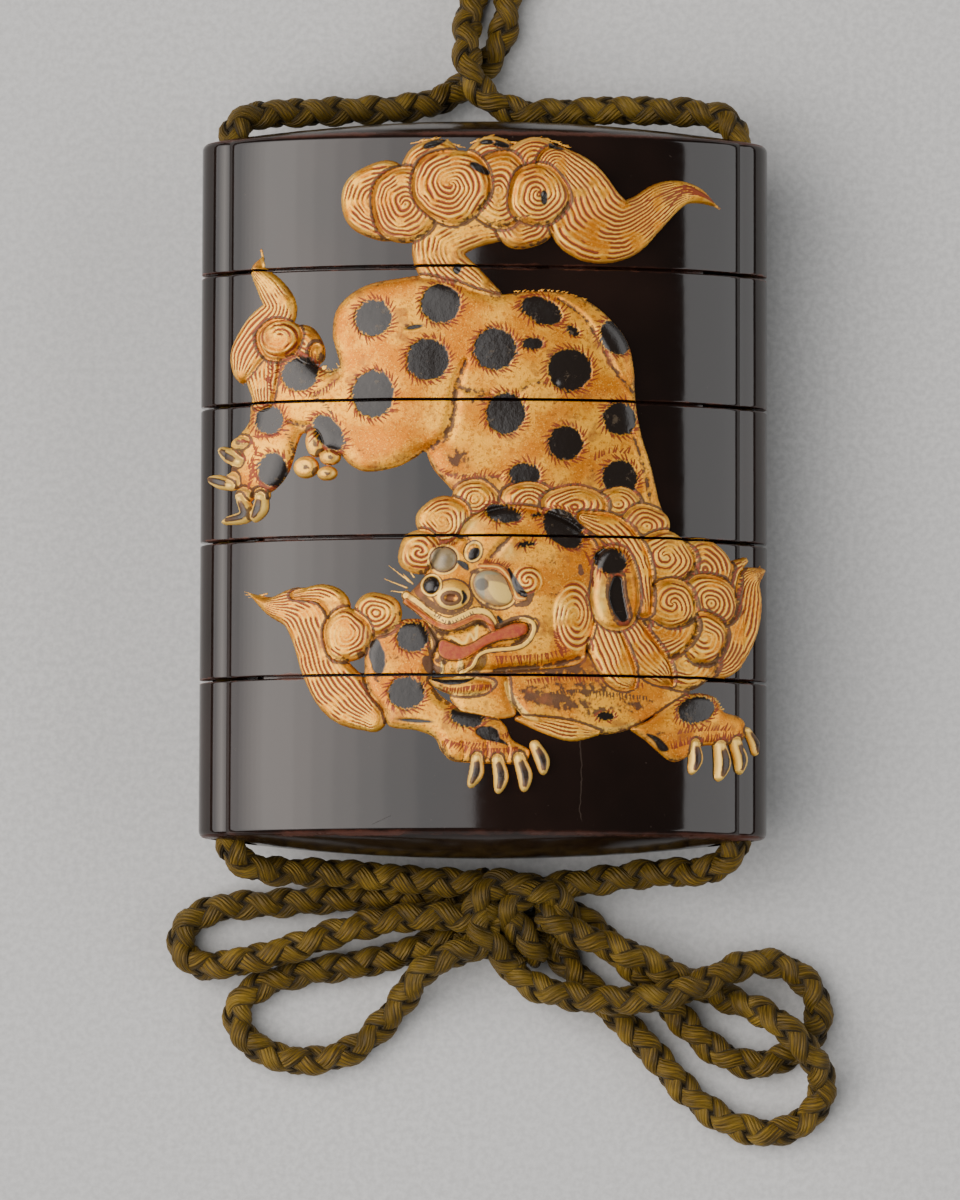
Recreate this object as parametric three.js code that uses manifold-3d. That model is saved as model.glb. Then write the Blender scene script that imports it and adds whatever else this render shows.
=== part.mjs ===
// Inro: four small lacquered cases and a lid that stack end to end, each hollow,
// with a raised gold lion on the front and a silk cord through a runner at each side.
// It lies on its back. +X is to the right of the front, +Y is towards the lid,
// +Z is up, out of the front. All sizes are in millimetres.

import * as THREE from 'three';
import { mergeVertices } from 'three/addons/utils/BufferGeometryUtils.js';
import Module from 'manifold-3d';

const wasm = await Module();
wasm.setup();

// ---------------------------------------------------------------- driving sizes

// Lens-shaped section: two shallow arcs that meet the rounded side runners at a crease.
const ARC_HALF_WIDTH = 29;
const ARC_HALF_DEPTH = 11;
const CREASE_X = 26.6;
const RUNNER_X = 25.5;
const RUNNER_RADIUS = 4.3;
const BACK_FLAT_HALF = 3.5;
const FRONT_STEPS = 14;
const BACK_STEPS = 5;
const SIDE_STEPS = 6;

// Lengthwise stations, from the rim of the bottom case up to the rim of the lid.
const BOTTOM_RIM = -36.75;
const SEAMS = [-20.45, -5.95, 8.3, 22.3];
const TOP_RIM = 36.4;
const BOTTOM_DOME = 2.1;
const TOP_DOME = 2.45;
const GAP = 0.3;

// Walls. Each case has an inner riser that plugs into the section above it.
const WALL = 1.4;
const RISER_WALL = 0.9;
const RISER_HEIGHT = 4;
const FLOOR = 1.2;
const END_WALL = 1.6;
const HOLLOW_HALF_WIDTH = 22.4;

// Cord and the runner channels that it passes through.
const CORD = 3.1;
const LIE = 1.65;
const CHANNEL_X = 26.6;
const CHANNEL_RADIUS = 1.9;
const MOUTH_RADIUS = 3.2;
const MOUTH_THROAT = 2;
const MOUTH_X = 25.6;
const MOUTH_DEPTH = 2.8;

// Coil of the doubled length that leads away from the lid.
const COIL_X = 0.6;
const COIL_Y = 75.6;
const COIL_RADIUS = 17;
const COIL_WIDTH = 6.4;
const COIL_HEIGHT = 6.1;

// The lion is laid out on the front face, measured from this height on the stack.
const FIGURE_Y = -0.35;
const RELIEF_LEFT = -27.6;
const RELIEF_RIGHT = 28.8;
const RELIEF_BOTTOM = -33.4;
const RELIEF_TOP = 36;
const RELIEF_CELL = 1.5;
const SLAB_DEPTH = 0.6;
const SUNK = 0.3;
const EMBED = 0.12;
const SHY = 0.03;

// Edges shorter than this, left over from joining solids, are merged away.
const SLIVER = 0.003;

const sink = ARC_HALF_DEPTH * (1 - Math.sqrt(1 - (BACK_FLAT_HALF / ARC_HALF_WIDTH) ** 2));
const CENTRE_Z = ARC_HALF_DEPTH - sink;

// ---------------------------------------------------------------- materials

const lacquer = () => new THREE.MeshStandardMaterial({ color: 0x1c1512, roughness: 0.2, metalness: 0 });
const silk = () => new THREE.MeshStandardMaterial({ color: 0x66521f, roughness: 0.75, metalness: 0 });

// ---------------------------------------------------------------- solids

function solid(geometry) {
  const bare = geometry.clone();
  bare.deleteAttribute('normal');
  bare.deleteAttribute('uv');
  const merged = mergeVertices(bare, 1e-4);
  const vertProperties = new Float32Array(merged.attributes.position.array);
  const triVerts = new Uint32Array(merged.index.array);
  return new wasm.Manifold(new wasm.Mesh({ numProp: 3, vertProperties, triVerts }));
}

function geometryOf(manifold) {
  const mesh = manifold.simplify(SLIVER).getMesh();
  const geometry = new THREE.BufferGeometry();
  geometry.setAttribute('position', new THREE.BufferAttribute(mesh.vertProperties, 3));
  geometry.setIndex(new THREE.BufferAttribute(mesh.triVerts, 1));
  geometry.computeVertexNormals();
  return geometry;
}

const union = (solids) => solids.reduce((whole, piece) => whole.add(piece));

// A closed skin through rings of equal length. A rounded end is closed by a fan to its
// middle, and the end of a thin bent slab by a strip between its upper and lower sides.
function loft(rings, slab = false) {
  const count = rings[0].length;
  const points = rings.flat();
  const faces = [];
  const quad = (a, b, c, d) => faces.push(a, b, c, a, c, d);
  for (let ring = 0; ring + 1 < rings.length; ring += 1) {
    for (let i = 0; i < count; i += 1) {
      const a = ring * count + i;
      const b = ring * count + ((i + 1) % count);
      quad(a, b, b + count, a + count);
    }
  }
  [0, rings.length - 1].forEach((ring, end) => {
    const start = ring * count;
    if (slab) {
      for (let i = 0; i + 1 < count / 2; i += 1) {
        const strip = [start + i, start + count - 1 - i, start + count - 2 - i, start + i + 1];
        quad(...(end ? strip.reverse() : strip));
      }
      return;
    }
    const middle = rings[ring].reduce((sum, p) => sum.clone().add(p)).divideScalar(count);
    const centre = points.push(middle) - 1;
    for (let i = 0; i < count; i += 1) {
      const [a, b] = [start + i, start + ((i + 1) % count)];
      faces.push(centre, end ? a : b, end ? b : a);
    }
  });
  const volume = faces.reduce((sum, corner, i) => (i % 3
    ? sum
    : sum + points[corner].dot(points[faces[i + 1]].clone().cross(points[faces[i + 2]]))), 0);
  const geometry = new THREE.BufferGeometry().setFromPoints(points);
  geometry.setIndex(volume > 0 ? faces : faces.reverse());
  return geometry;
}

// ---------------------------------------------------------------- the section

const halfDepth = (x) => ARC_HALF_DEPTH * Math.sqrt(1 - (x / ARC_HALF_WIDTH) ** 2);

// Outer outline as [x, z] about the centre: front arc, right runner, back arc with
// its narrow flat, left runner.
function outline() {
  const points = [];
  const creaseAngle = Math.asin(CREASE_X / ARC_HALF_WIDTH);
  for (let i = 0; i <= FRONT_STEPS; i += 1) {
    const x = ARC_HALF_WIDTH * Math.sin(creaseAngle * ((2 * i) / FRONT_STEPS - 1));
    points.push([x, halfDepth(x)]);
  }
  const runnerAngle = Math.acos((CREASE_X - RUNNER_X) / RUNNER_RADIUS);
  const runner = (side) => {
    for (let i = 0; i <= SIDE_STEPS; i += 1) {
      const angle = side * runnerAngle * (1 - (2 * i) / SIDE_STEPS);
      const x = RUNNER_X + RUNNER_RADIUS * Math.cos(angle);
      points.push([side * x, RUNNER_RADIUS * Math.sin(angle)]);
    }
  };
  runner(1);
  const flatAngle = Math.asin(BACK_FLAT_HALF / ARC_HALF_WIDTH);
  const back = [];
  for (let i = 0; i <= BACK_STEPS; i += 1) {
    back.push(ARC_HALF_WIDTH * Math.sin(creaseAngle + ((flatAngle - creaseAngle) * i) / BACK_STEPS));
  }
  back.forEach((x) => points.push([x, -halfDepth(x)]));
  back.reverse().forEach((x) => points.push([-x, -halfDepth(x)]));
  runner(-1);
  return points;
}

// Outline of a hollow that lies a wall's thickness inside the arcs.
function hollowOutline(thickness, halfWidth) {
  const steps = 10;
  const points = [];
  [1, -1].forEach((side) => {
    for (let i = 0; i <= steps; i += 1) {
      const x = side * halfWidth * Math.sin((Math.PI / 2) * ((2 * i) / steps - 1));
      const depth = (halfDepth(x) * (ARC_HALF_DEPTH - thickness)) / ARC_HALF_DEPTH;
      points.push([x, side * depth]);
    }
  });
  return points;
}

const ringAt = (points, y, scale = 1) =>
  points.map(([x, z]) => new THREE.Vector3(x * scale, y, CENTRE_Z + z * scale));

const prism = (points, low, high) => solid(loft([ringAt(points, low), ringAt(points, high)]));

// Rings of a shallow domed end: [scale of the outline, share of the dome's height].
const DOME_RINGS = [[1, -0.32], [0.983, -0.02], [0.8, 0.36], [0.5, 0.75], [0.2, 0.96]];

function domedPrism(flatY, rimY, dome) {
  const outer = outline();
  const rings = DOME_RINGS.map(([scale, share]) => ringAt(outer, rimY + share * dome, scale));
  return solid(loft([ringAt(outer, flatY), ...rings]));
}

// ---------------------------------------------------------------- the stacked sections

const riserOutline = hollowOutline(WALL + GAP, HOLLOW_HALF_WIDTH + RISER_WALL);
const socketOutline = hollowOutline(WALL, HOLLOW_HALF_WIDTH + RISER_WALL + GAP);
const cavityOutline = hollowOutline(WALL + GAP + RISER_WALL, HOLLOW_HALF_WIDTH);

function channels() {
  const length = TOP_RIM + TOP_DOME - BOTTOM_RIM + BOTTOM_DOME + 2;
  const cuts = [];
  [-1, 1].forEach((side) => {
    const bore = new THREE.CylinderGeometry(CHANNEL_RADIUS, CHANNEL_RADIUS, length, 12);
    bore.translate(side * CHANNEL_X, (TOP_RIM + BOTTOM_RIM) / 2, CENTRE_Z);
    cuts.push(solid(bore));
    [[TOP_RIM, 1], [BOTTOM_RIM, -1]].forEach(([rim, end]) => {
      const [upper, lower] = end > 0 ? [MOUTH_RADIUS, MOUTH_THROAT] : [MOUTH_THROAT, MOUTH_RADIUS];
      const mouth = new THREE.CylinderGeometry(upper, lower, MOUTH_DEPTH, 10);
      mouth.translate(side * MOUTH_X, rim - end * 0.6, CENTRE_Z);
      cuts.push(solid(mouth));
    });
  });
  return union(cuts);
}

const low = (i) => (i === 0 ? BOTTOM_RIM : SEAMS[i - 1] + GAP / 2);
const high = (i) => (i === SEAMS.length ? TOP_RIM : SEAMS[i] - GAP / 2);

function lid() {
  const bottom = low(SEAMS.length);
  const shell = domedPrism(bottom, TOP_RIM, TOP_DOME);
  return shell.subtract(prism(socketOutline, bottom - 1, TOP_RIM - END_WALL));
}

function caseSection(i) {
  const top = high(i);
  const bottom = low(i);
  const body = i === 0 ? domedPrism(top, bottom, -BOTTOM_DOME) : prism(outline(), bottom, top);
  const riser = prism(riserOutline, top - 2, top + RISER_HEIGHT);
  const socketTop = bottom + RISER_HEIGHT + GAP;
  const floorTop = i === 0 ? bottom + END_WALL : socketTop + FLOOR;
  let shell = body.add(riser).subtract(prism(cavityOutline, floorTop, top + RISER_HEIGHT + 1));
  if (i > 0) shell = shell.subtract(prism(socketOutline, bottom - 1, socketTop));
  return shell;
}

// ---------------------------------------------------------------- the raised lion

// Swelling forms: [x, y, half length, half width, turn in degrees, height].
const BODY = [
  [-8.8, 15.4, 6.9, 6.1, 0, 0.9], // rump
  [-9.6, 8.8, 6.0, 7.8, 8, 1.0], // haunch
  [4.6, 13.2, 11.2, 6.6, -6, 0.8], // loins
  [6.0, 5.6, 9.9, 7.6, -12, 0.85], // ribs
  [7.6, -0.8, 9.6, 6.4, 0, 0.8], // shoulders
  [-2.6, 2.4, 2.6, 3.2, 40, 0.5], // skin fold under the ribs
  [11.0, -22.8, 9.2, 3.2, 4, 0.8], // belly
  [8.6, -25.3, 3.8, 1.2, 0, 0.5], // belly fringe
  [-0.2, -22.9, 3.0, 1.3, 12, 0.7], // throat
];
const HEAD = [
  [4.6, -10.6, 7.6, 8.2, 0, 1.15], // skull
  [-2.8, -12.6, 5.3, 4.8, -14, 1.25], // muzzle
  [1.8, -17.2, 8.8, 3.4, 4, 0.95], // cheek and gum
  [-2.2, -20.4, 3.9, 2.0, 0, 1.0], // chin
  [-3.2, -12.2, 2.2, 1.8, 0, 1.6], // nostril
  [-5.1, -10.8, 1.3, 1.3, 0, 1.5], // nose bead
  [-4.0, -8.0, 1.5, 1.5, 0, 1.5], // brow bead
  [1.2, -10.9, 2.4, 2.1, -35, 1.55], // eye
  [9.4, -14.2, 2.3, 3.4, 0, 1.35], // cheek whorl
  [13.6, -12.0, 2.6, 3.9, 12, 1.4], // ear
];
const PAWS = [
  [-23.1, 2.6, 3.6, 3.1, 30, 0.9], // hind paw
  [-17.9, 3.9, 1.1, 1.6, 0, 0.8], // hind pads
  [-18.8, 1.5, 1.4, 1.1, 10, 0.8],
  [-16.4, 1.2, 1.3, 0.9, 0, 0.8],
  [-8.9, -18.4, 3.5, 4.4, -15, 0.9], // near elbow
  [0.4, -27.6, 4.6, 2.2, -6, 0.95], // near paw
  [23.4, -25.3, 4.0, 2.3, -4, 0.9], // far paw
];

// Round curls of the mane and tufts: [x, y, radius]; they stand highest of all.
const CURL_HEIGHT = 1.3;
const CURLS = [
  [-3.9, -4.0, 2.9], [-6.2, -7.3, 2.7], [-0.8, -2.4, 2.5], [4.8, -2.6, 3.1], [9.2, -3.6, 3.0],
  [13.4, -3.4, 2.8], [16.7, -5.0, 2.7], [18.7, -7.9, 3.4], [23.0, -8.7, 3.1], [23.3, -11.9, 2.9],
  [19.3, -12.7, 3.9], [22.3, -16.2, 3.0], [17.6, -16.6, 3.6], [13.4, -17.2, 3.4], [19.2, -19.0, 3.2],
  [-14.0, -15.8, 3.0], [-10.9, -13.5, 2.5], [-21.2, 14.8, 3.1], [-18.6, 15.3, 2.2], [-17.5, 13.5, 1.4],
  [-10.4, 29.5, 4.6], [-8.0, 29.0, 4.2], [-3.2, 31.0, 4.5], [0.2, 30.9, 3.8], [-4.6, 33.4, 3.1],
  [0.6, 33.7, 3.0], [5.9, 32.9, 3.5], [5.3, 29.8, 3.7], [4.0, 27.0, 3.1],
];

// Tapering locks and limbs: height, then [x, y, half width] along the middle.
const LOCKS = [
  { height: 1.0, line: [[6.4, 33.0, 2.6], [9.4, 30, 3.4], [11.6, 27.2, 3.4], [14, 26.6, 2.6],
    [16.2, 28, 2.1], [18.2, 29.8, 1.6], [20.2, 30.8, 1.3], [22.2, 30.7, 0.9],
    [23.8, 29.9, 0.3]] }, // tip of the tail
  { height: 0.9, line: [[2.0, 27.2, 1.2], [-1.6, 26.4, 1.7], [-4.4, 24.7, 2.5], [-4.2, 22.4, 2.2],
    [-2.6, 20.6, 1.9], [-0.6, 18.8, 1.6]] }, // root of the tail
  { height: 0.9, line: [[-23.3, 23.9, 0.2], [-23.5, 22.2, 0.8], [-22, 19.9, 1.6], [-21.4, 17.8, 1.9],
    [-22.6, 15.4, 3], [-23.4, 12.6, 3], [-23.4, 10.2, 1.9]] }, // flame on the hock
  { height: 0.9, line: [[-11.5, 9.4, 3.6], [-16.5, 9.2, 2.6], [-20, 8.8, 2.7], [-22.2, 6.6, 2.6],
    [-23, 3.6, 2.6]] }, // hind shank
  { height: 0.95, line: [[7.2, 19.1, 0.8], [11.6, 17.7, 1.2], [14.2, 14.4, 1.4], [14.9, 9.5, 1.5],
    [16.1, 4.8, 1.4], [17.3, 0.2, 1.3], [17.9, -4, 1.3]] }, // spine
  { height: 0.9, line: [[-24, -11.5, 0.2], [-21.7, -12.8, 1.2], [-18.4, -13.3, 2.4], [-17.4, -16.4, 2.1],
    [-16.2, -19.6, 2.3], [-13.8, -22.4, 2.8], [-11.4, -24.2, 1.8]] }, // flame on the near elbow
  { height: 0.9, line: [[-9.6, -16, 2.6], [-8, -20.4, 3.1], [-5.6, -23.6, 3], [-2, -25.9, 2.9],
    [0.6, -27.2, 2.6]] }, // near foreleg
  { height: 0.9, line: [[15.6, -26, 0.7], [18, -25.2, 1.9], [20.8, -24.8, 2.7], [23.6, -24.9, 2.4],
    [26.6, -24.9, 1.3]] }, // far foreleg
  { height: 0.95, line: [[23.6, -18.9, 0.9], [25.8, -17, 1.8], [26.6, -13, 2], [26.9, -9.9, 1.8],
    [28.3, -8, 0.8]] }, // flame behind the mane
];

// Claws: middle of the root, then the tip.
const CLAW_HEIGHT = 1.0;
const CLAW_RINGS = [[-0.1, 0.6], [0.35, 0.85], [0.75, 0.6], [1, 0.2]]; // share of length, half width
const CLAWS = [
  [[-0.7, -28.9], [-1.1, -31.5]], [[1.5, -29.1], [1.5, -32]], [[3.9, -28.9], [4, -31.8]],
  [[5.3, -27.8], [6.1, -30.2]], [[21.9, -27], [21.9, -29.8]], [[24.6, -27.2], [24.5, -30.3]],
  [[26.4, -26.6], [27, -29.6]], [[27.4, -25.4], [28.3, -27.4]], [[-25.2, 3.4], [-27, 3.3]],
  [[-25.8, 0.6], [-27.4, 0]], [[-24.6, -0.9], [-26.2, -3.3]], [[-23.1, -1], [-23.5, -3.2]],
];

// Height of a rounded form at a share of its half width: a soft shoulder inside its
// outline, and below the skin beyond it.
const swell = (height, share) =>
  (share < 1 ? height * (1 - share ** 3) ** 0.6 : -height * Math.min(1, 2 * (share - 1)));

function pillowHeight(x, y, [middleX, middleY, halfLength, halfWidth, turn, height]) {
  const angle = THREE.MathUtils.degToRad(turn);
  const along = (x - middleX) * Math.cos(angle) + (y - middleY) * Math.sin(angle);
  const across = (y - middleY) * Math.cos(angle) - (x - middleX) * Math.sin(angle);
  return swell(height, Math.hypot(along / halfLength, across / halfWidth));
}

function lockHeight(x, y, { line, height }) {
  let best = -height;
  for (let i = 0; i + 1 < line.length; i += 1) {
    const [[x0, y0, half0], [x1, y1, half1]] = [line[i], line[i + 1]];
    const [runX, runY] = [x1 - x0, y1 - y0];
    const along = ((x - x0) * runX + (y - y0) * runY) / (runX ** 2 + runY ** 2);
    const t = THREE.MathUtils.clamp(along, 0, 1);
    const half = half0 + (half1 - half0) * t;
    const share = Math.hypot(x - x0 - runX * t, y - y0 - runY * t) / half;
    best = Math.max(best, swell(height * Math.min(1, half), share));
  }
  return best;
}

const PILLOWS = [
  ...BODY, ...HEAD, ...PAWS,
  ...CURLS.map(([x, y, radius]) => [x, y, radius, radius, 0, CURL_HEIGHT]),
];

function reliefHeight(x, y) {
  const swells = PILLOWS.map((pillow) => pillowHeight(x, y, pillow));
  const locks = LOCKS.map((lock) => lockHeight(x, y, lock));
  return Math.max(-SUNK, ...swells, ...locks);
}

// Lift a point of the flat layout off the front, along the skin's normal.
function lifted(x, y, height) {
  const out = Math.abs(x) - RUNNER_X;
  const onArc = Math.abs(x) <= CREASE_X;
  const depth = onArc ? halfDepth(x) : Math.sqrt(RUNNER_RADIUS ** 2 - out ** 2);
  const lean = onArc
    ? (x / depth) * (ARC_HALF_DEPTH / ARC_HALF_WIDTH) ** 2
    : (Math.sign(x) * out) / depth;
  const rise = height / Math.hypot(1, lean);
  return new THREE.Vector3(x + lean * rise, y, CENTRE_Z + depth + rise);
}

// The lion's share of one section: a slab within the wall whose upper side is the relief.
function reliefSlab(i) {
  const bottom = Math.max(low(i) + SHY, RELIEF_BOTTOM);
  const top = Math.min(high(i) - SHY, RELIEF_TOP);
  const columns = Math.round((RELIEF_RIGHT - RELIEF_LEFT) / RELIEF_CELL);
  const rows = Math.round((top - bottom) / RELIEF_CELL);
  const rings = [];
  for (let row = 0; row <= rows; row += 1) {
    const y = bottom + ((top - bottom) * row) / rows;
    const upper = [];
    const lower = [];
    for (let column = 0; column <= columns; column += 1) {
      const x = RELIEF_LEFT + ((RELIEF_RIGHT - RELIEF_LEFT) * column) / columns;
      upper.push(lifted(x, y, reliefHeight(x, y - FIGURE_Y)));
      lower.unshift(lifted(x, y, -SLAB_DEPTH));
    }
    rings.push([...upper, ...lower]);
  }
  return solid(loft(rings, true));
}

// A claw is a short ridge of half-round section that narrows to its tip.
function claw([[rootX, rootY], [tipX, tipY]]) {
  const [runX, runY] = [tipX - rootX, tipY - rootY];
  const run = Math.hypot(runX, runY);
  const rings = CLAW_RINGS.map(([along, half]) => {
    const section = [[-1, 0], [-0.5, 0.9], [0.5, 0.9], [1, 0], [0, -SUNK]];
    return section.map(([across, up]) => {
      const x = rootX + runX * along + (runY / run) * across * half;
      const y = rootY + runY * along - (runX / run) * across * half;
      return lifted(x, y + FIGURE_Y, up * CLAW_HEIGHT * Math.min(1, half + 0.4) - EMBED);
    });
  });
  return solid(loft(rings));
}

// ---------------------------------------------------------------- the cord

const ROUTES = {
  cord_left_above: [[-26.6, 36.6, CENTRE_Z], [-26.5, 37.8, 10.8], [-25.7, 39.1, 10.1], [-23.4, 40, 8.8],
    [-19.6, 40.4, 7.4], [-14.9, 40.8, 6], [-9, 41.3, 4.4], [-4.8, 42.5, 2.6], [-2.2, 44.3, 1.75],
    [0.2, 46.6, LIE], [1.7, 49.3, LIE], [2.3, 52.1, LIE], [2.6, 54.4, LIE]],
  cord_right_above: [[26.6, 36.6, CENTRE_Z], [26.5, 37.8, 10.8], [25.7, 39.2, 10.1], [23.3, 40.2, 9],
    [18.5, 40.6, 8], [13.3, 40.8, 7.2], [8, 40.6, 6.5], [3.7, 40.7, 6.1], [0.8, 41.8, 5.9],
    [-1, 43.8, 5.6], [-1.9, 46.5, 5], [-2, 49.6, 3.2], [-1.7, 52.1, 1.75], [-1.3, 54.4, LIE]],
  cord_left_below: [[-26.6, -36.2, CENTRE_Z], [-26.5, -37.5, 10.8], [-25.4, -39.1, 10], [-22.8, -40, 8.4],
    [-19.2, -40.1, 6.6], [-14.8, -40.2, 5.5], [-9.8, -40.6, 5.1], [-4.5, -41, 5.1], [0.4, -41.1, 4.9]],
  cord_right_below: [[26.6, -36.2, CENTRE_Z], [26.5, -37.5, 10.8], [25.3, -39.1, 10], [23, -40, 8.8],
    [20.2, -40, 7.2], [16.6, -40.2, 5.9], [12.4, -40.8, 5.1], [7, -41.5, 4.6]],
  bow_upper_left: [[1.4, -42.8, 1.9], [-2.5, -42.7, LIE], [-6, -42.3, LIE], [-11, -42.3, LIE],
    [-16.5, -42.7, LIE], [-22.5, -43.2, LIE], [-28, -43.7, LIE], [-31.2, -45.4, LIE], [-31.8, -47.9, LIE],
    [-29.8, -49.7, 2.2], [-25.6, -49.4, 3.6], [-20.6, -48.2, 4.3], [-14.9, -46.2, 4], [-9.4, -44.9, 4],
    [-4.5, -44.6, 4.8], [-1.2, -44.75, 5], [1.8, -43.7, 4.8]],
  bow_lower_left: [[1.9, -45.2, 2.4], [-1.5, -46.1, LIE], [-5, -47.2, LIE], [-9.4, -48.7, LIE],
    [-14, -49.7, LIE], [-18.6, -50.4, LIE], [-22.8, -51.6, LIE], [-25.6, -53.6, LIE], [-25.6, -56.4, LIE],
    [-23, -58.8, LIE], [-18.7, -59.8, LIE], [-13.9, -58.7, LIE], [-10.6, -56, LIE], [-8.3, -53.2, 2.6],
    [-6.6, -50.8, 4.4], [-4.2, -49, 5.1], [-1.6, -48.2, 5], [1.3, -46.4, 3.9]],
  bow_upper_right: [[2.8, -45.6, 3], [2.5, -48.4, 2.6], [4.4, -51.3, 3.6], [8.8, -52.9, 4.8],
    [13, -53.4, 5.6], [16.4, -53.4, 6], [19.4, -52.9, 6.4], [22.4, -52, 6.2], [25.4, -50.5, 4.9],
    [28.8, -49.3, 3.2], [32.4, -49.9, 1.8], [35.2, -52.6, LIE], [35.3, -56.2, LIE], [32.4, -59, LIE],
    [28.4, -60, LIE], [24.2, -58.2, LIE], [20.6, -54.8, LIE], [17.4, -51.4, LIE], [14.2, -48, LIE],
    [11, -45, LIE], [7, -42.6, 2]],
  bow_lower_right: [[6.2, -44.4, 4.8], [9, -46.1, 5.1], [12.6, -47.4, 5.1], [16.4, -48.9, 5.1],
    [19.4, -50.3, 4], [22.4, -51.6, 2.2], [25.6, -52.9, LIE], [29.2, -54.4, 3.6], [32, -56.3, 5.4],
    [34.4, -58.8, 5.2], [36, -62.2, 2.6], [34.6, -65.4, LIE], [30.8, -67.2, LIE], [26.2, -66.2, LIE],
    [21.8, -63, LIE], [18.4, -59.2, LIE], [15, -55.6, LIE], [11.6, -52.2, LIE], [8.6, -49, LIE],
    [7, -46.6, LIE], [5.4, -44.2, 2]],
};
const STEP_LENGTH = 7;
const KNOT_CENTRE = [3.7, -42.9, 3.5];
const KNOT_HALF = [4.6, 4.4, 3.4];

function tube(points) {
  const stations = points.map((p) => new THREE.Vector3(...p));
  const route = new THREE.CatmullRomCurve3(stations, false, 'centripetal');
  const section = new THREE.Shape();
  for (let i = 0; i < 8; i += 1) {
    const angle = (i + 0.5) * (Math.PI / 4);
    const [x, y] = [(CORD / 2) * Math.cos(angle), (CORD / 2) * Math.sin(angle)];
    if (i) section.lineTo(x, y);
    else section.moveTo(x, y);
  }
  section.closePath();
  const steps = points.length > 2 ? Math.round(route.getLength() / STEP_LENGTH) : 1;
  return solid(new THREE.ExtrudeGeometry(section, { steps, bevelEnabled: false, extrudePath: route }));
}

function knot(clearance = 0) {
  const ball = new THREE.SphereGeometry(1, 12, 7);
  ball.scale(...KNOT_HALF.map((half) => half + clearance));
  ball.translate(...KNOT_CENTRE);
  return solid(ball);
}

function runnerCord(side) {
  const ends = [BOTTOM_RIM + 1.1, TOP_RIM - 0.2].map((y) => [side * CHANNEL_X, y, CENTRE_Z]);
  return tube(ends);
}

// The coil's outer shape: a ring whose section has its corners taken off.
function coil() {
  const [half, height, corner] = [COIL_WIDTH / 2, COIL_HEIGHT, 1.4];
  const corners = [[-half, corner], [-half + corner, 0], [half - corner, 0], [half, corner],
    [half, height - corner], [half - corner, height], [corner - half, height], [-half, height - corner]];
  const profile = corners.map(([x, y]) => new THREE.Vector2(COIL_RADIUS + x, y));
  profile.push(profile[0].clone());
  const ring = new THREE.LatheGeometry(profile, 20).rotateX(Math.PI / 2).scale(1, -1, -1);
  const bounds = new THREE.Box3().setFromBufferAttribute(ring.attributes.position);
  ring.translate(COIL_X, COIL_Y, -bounds.min.z);
  return ring;
}

// ---------------------------------------------------------------- assembly

const inro = new THREE.Group();

function place(name, geometry, material) {
  const mesh = new THREE.Mesh(geometry, material);
  mesh.name = name;
  inro.add(mesh);
}

const bores = channels();
const claws = union(CLAWS.map(claw));
['case_4', 'case_3', 'case_2', 'case_1', 'lid'].forEach((name, i) => {
  const shell = i === SEAMS.length ? lid() : caseSection(i);
  const length = high(i) - low(i) - 2 * SHY;
  const span = new THREE.BoxGeometry(2 * ARC_HALF_WIDTH + 6, length, 2 * ARC_HALF_DEPTH);
  span.translate(0, (low(i) + high(i)) / 2, CENTRE_Z + ARC_HALF_DEPTH);
  const relief = reliefSlab(i).add(claws.intersect(solid(span)));
  place(name, geometryOf(shell.add(relief).subtract(bores)), lacquer());
});

const knotClearance = knot(GAP);
Object.entries(ROUTES).forEach(([name, points]) => {
  place(name, geometryOf(tube(points).subtract(knotClearance)), silk());
});
place('cord_left_runner', geometryOf(runnerCord(-1)), silk());
place('cord_right_runner', geometryOf(runnerCord(1)), silk());
place('bow_knot', geometryOf(knot()), silk());
place('cord_coil', coil(), silk());

export default inro;
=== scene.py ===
"""Inro case with a gold lion in relief and a braided silk cord. All the sizes below are
in millimetres, and MM turns them into metres."""

import math

import bmesh
import bpy
import numpy as np
from mathutils import Matrix, Vector


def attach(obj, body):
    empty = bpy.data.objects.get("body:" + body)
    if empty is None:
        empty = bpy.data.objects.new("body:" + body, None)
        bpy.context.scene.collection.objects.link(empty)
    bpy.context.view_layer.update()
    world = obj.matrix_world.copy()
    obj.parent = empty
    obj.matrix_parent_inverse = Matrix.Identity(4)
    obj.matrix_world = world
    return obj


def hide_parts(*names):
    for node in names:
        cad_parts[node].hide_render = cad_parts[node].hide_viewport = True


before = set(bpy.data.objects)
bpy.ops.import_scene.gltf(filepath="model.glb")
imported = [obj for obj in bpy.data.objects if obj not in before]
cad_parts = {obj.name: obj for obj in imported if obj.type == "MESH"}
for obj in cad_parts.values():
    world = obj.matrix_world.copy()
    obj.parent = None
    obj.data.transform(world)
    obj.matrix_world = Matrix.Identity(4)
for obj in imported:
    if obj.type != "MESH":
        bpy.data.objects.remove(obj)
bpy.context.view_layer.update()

MM = 0.001

# ---------------------------------------------------------------- sizes shared with the solids

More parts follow.
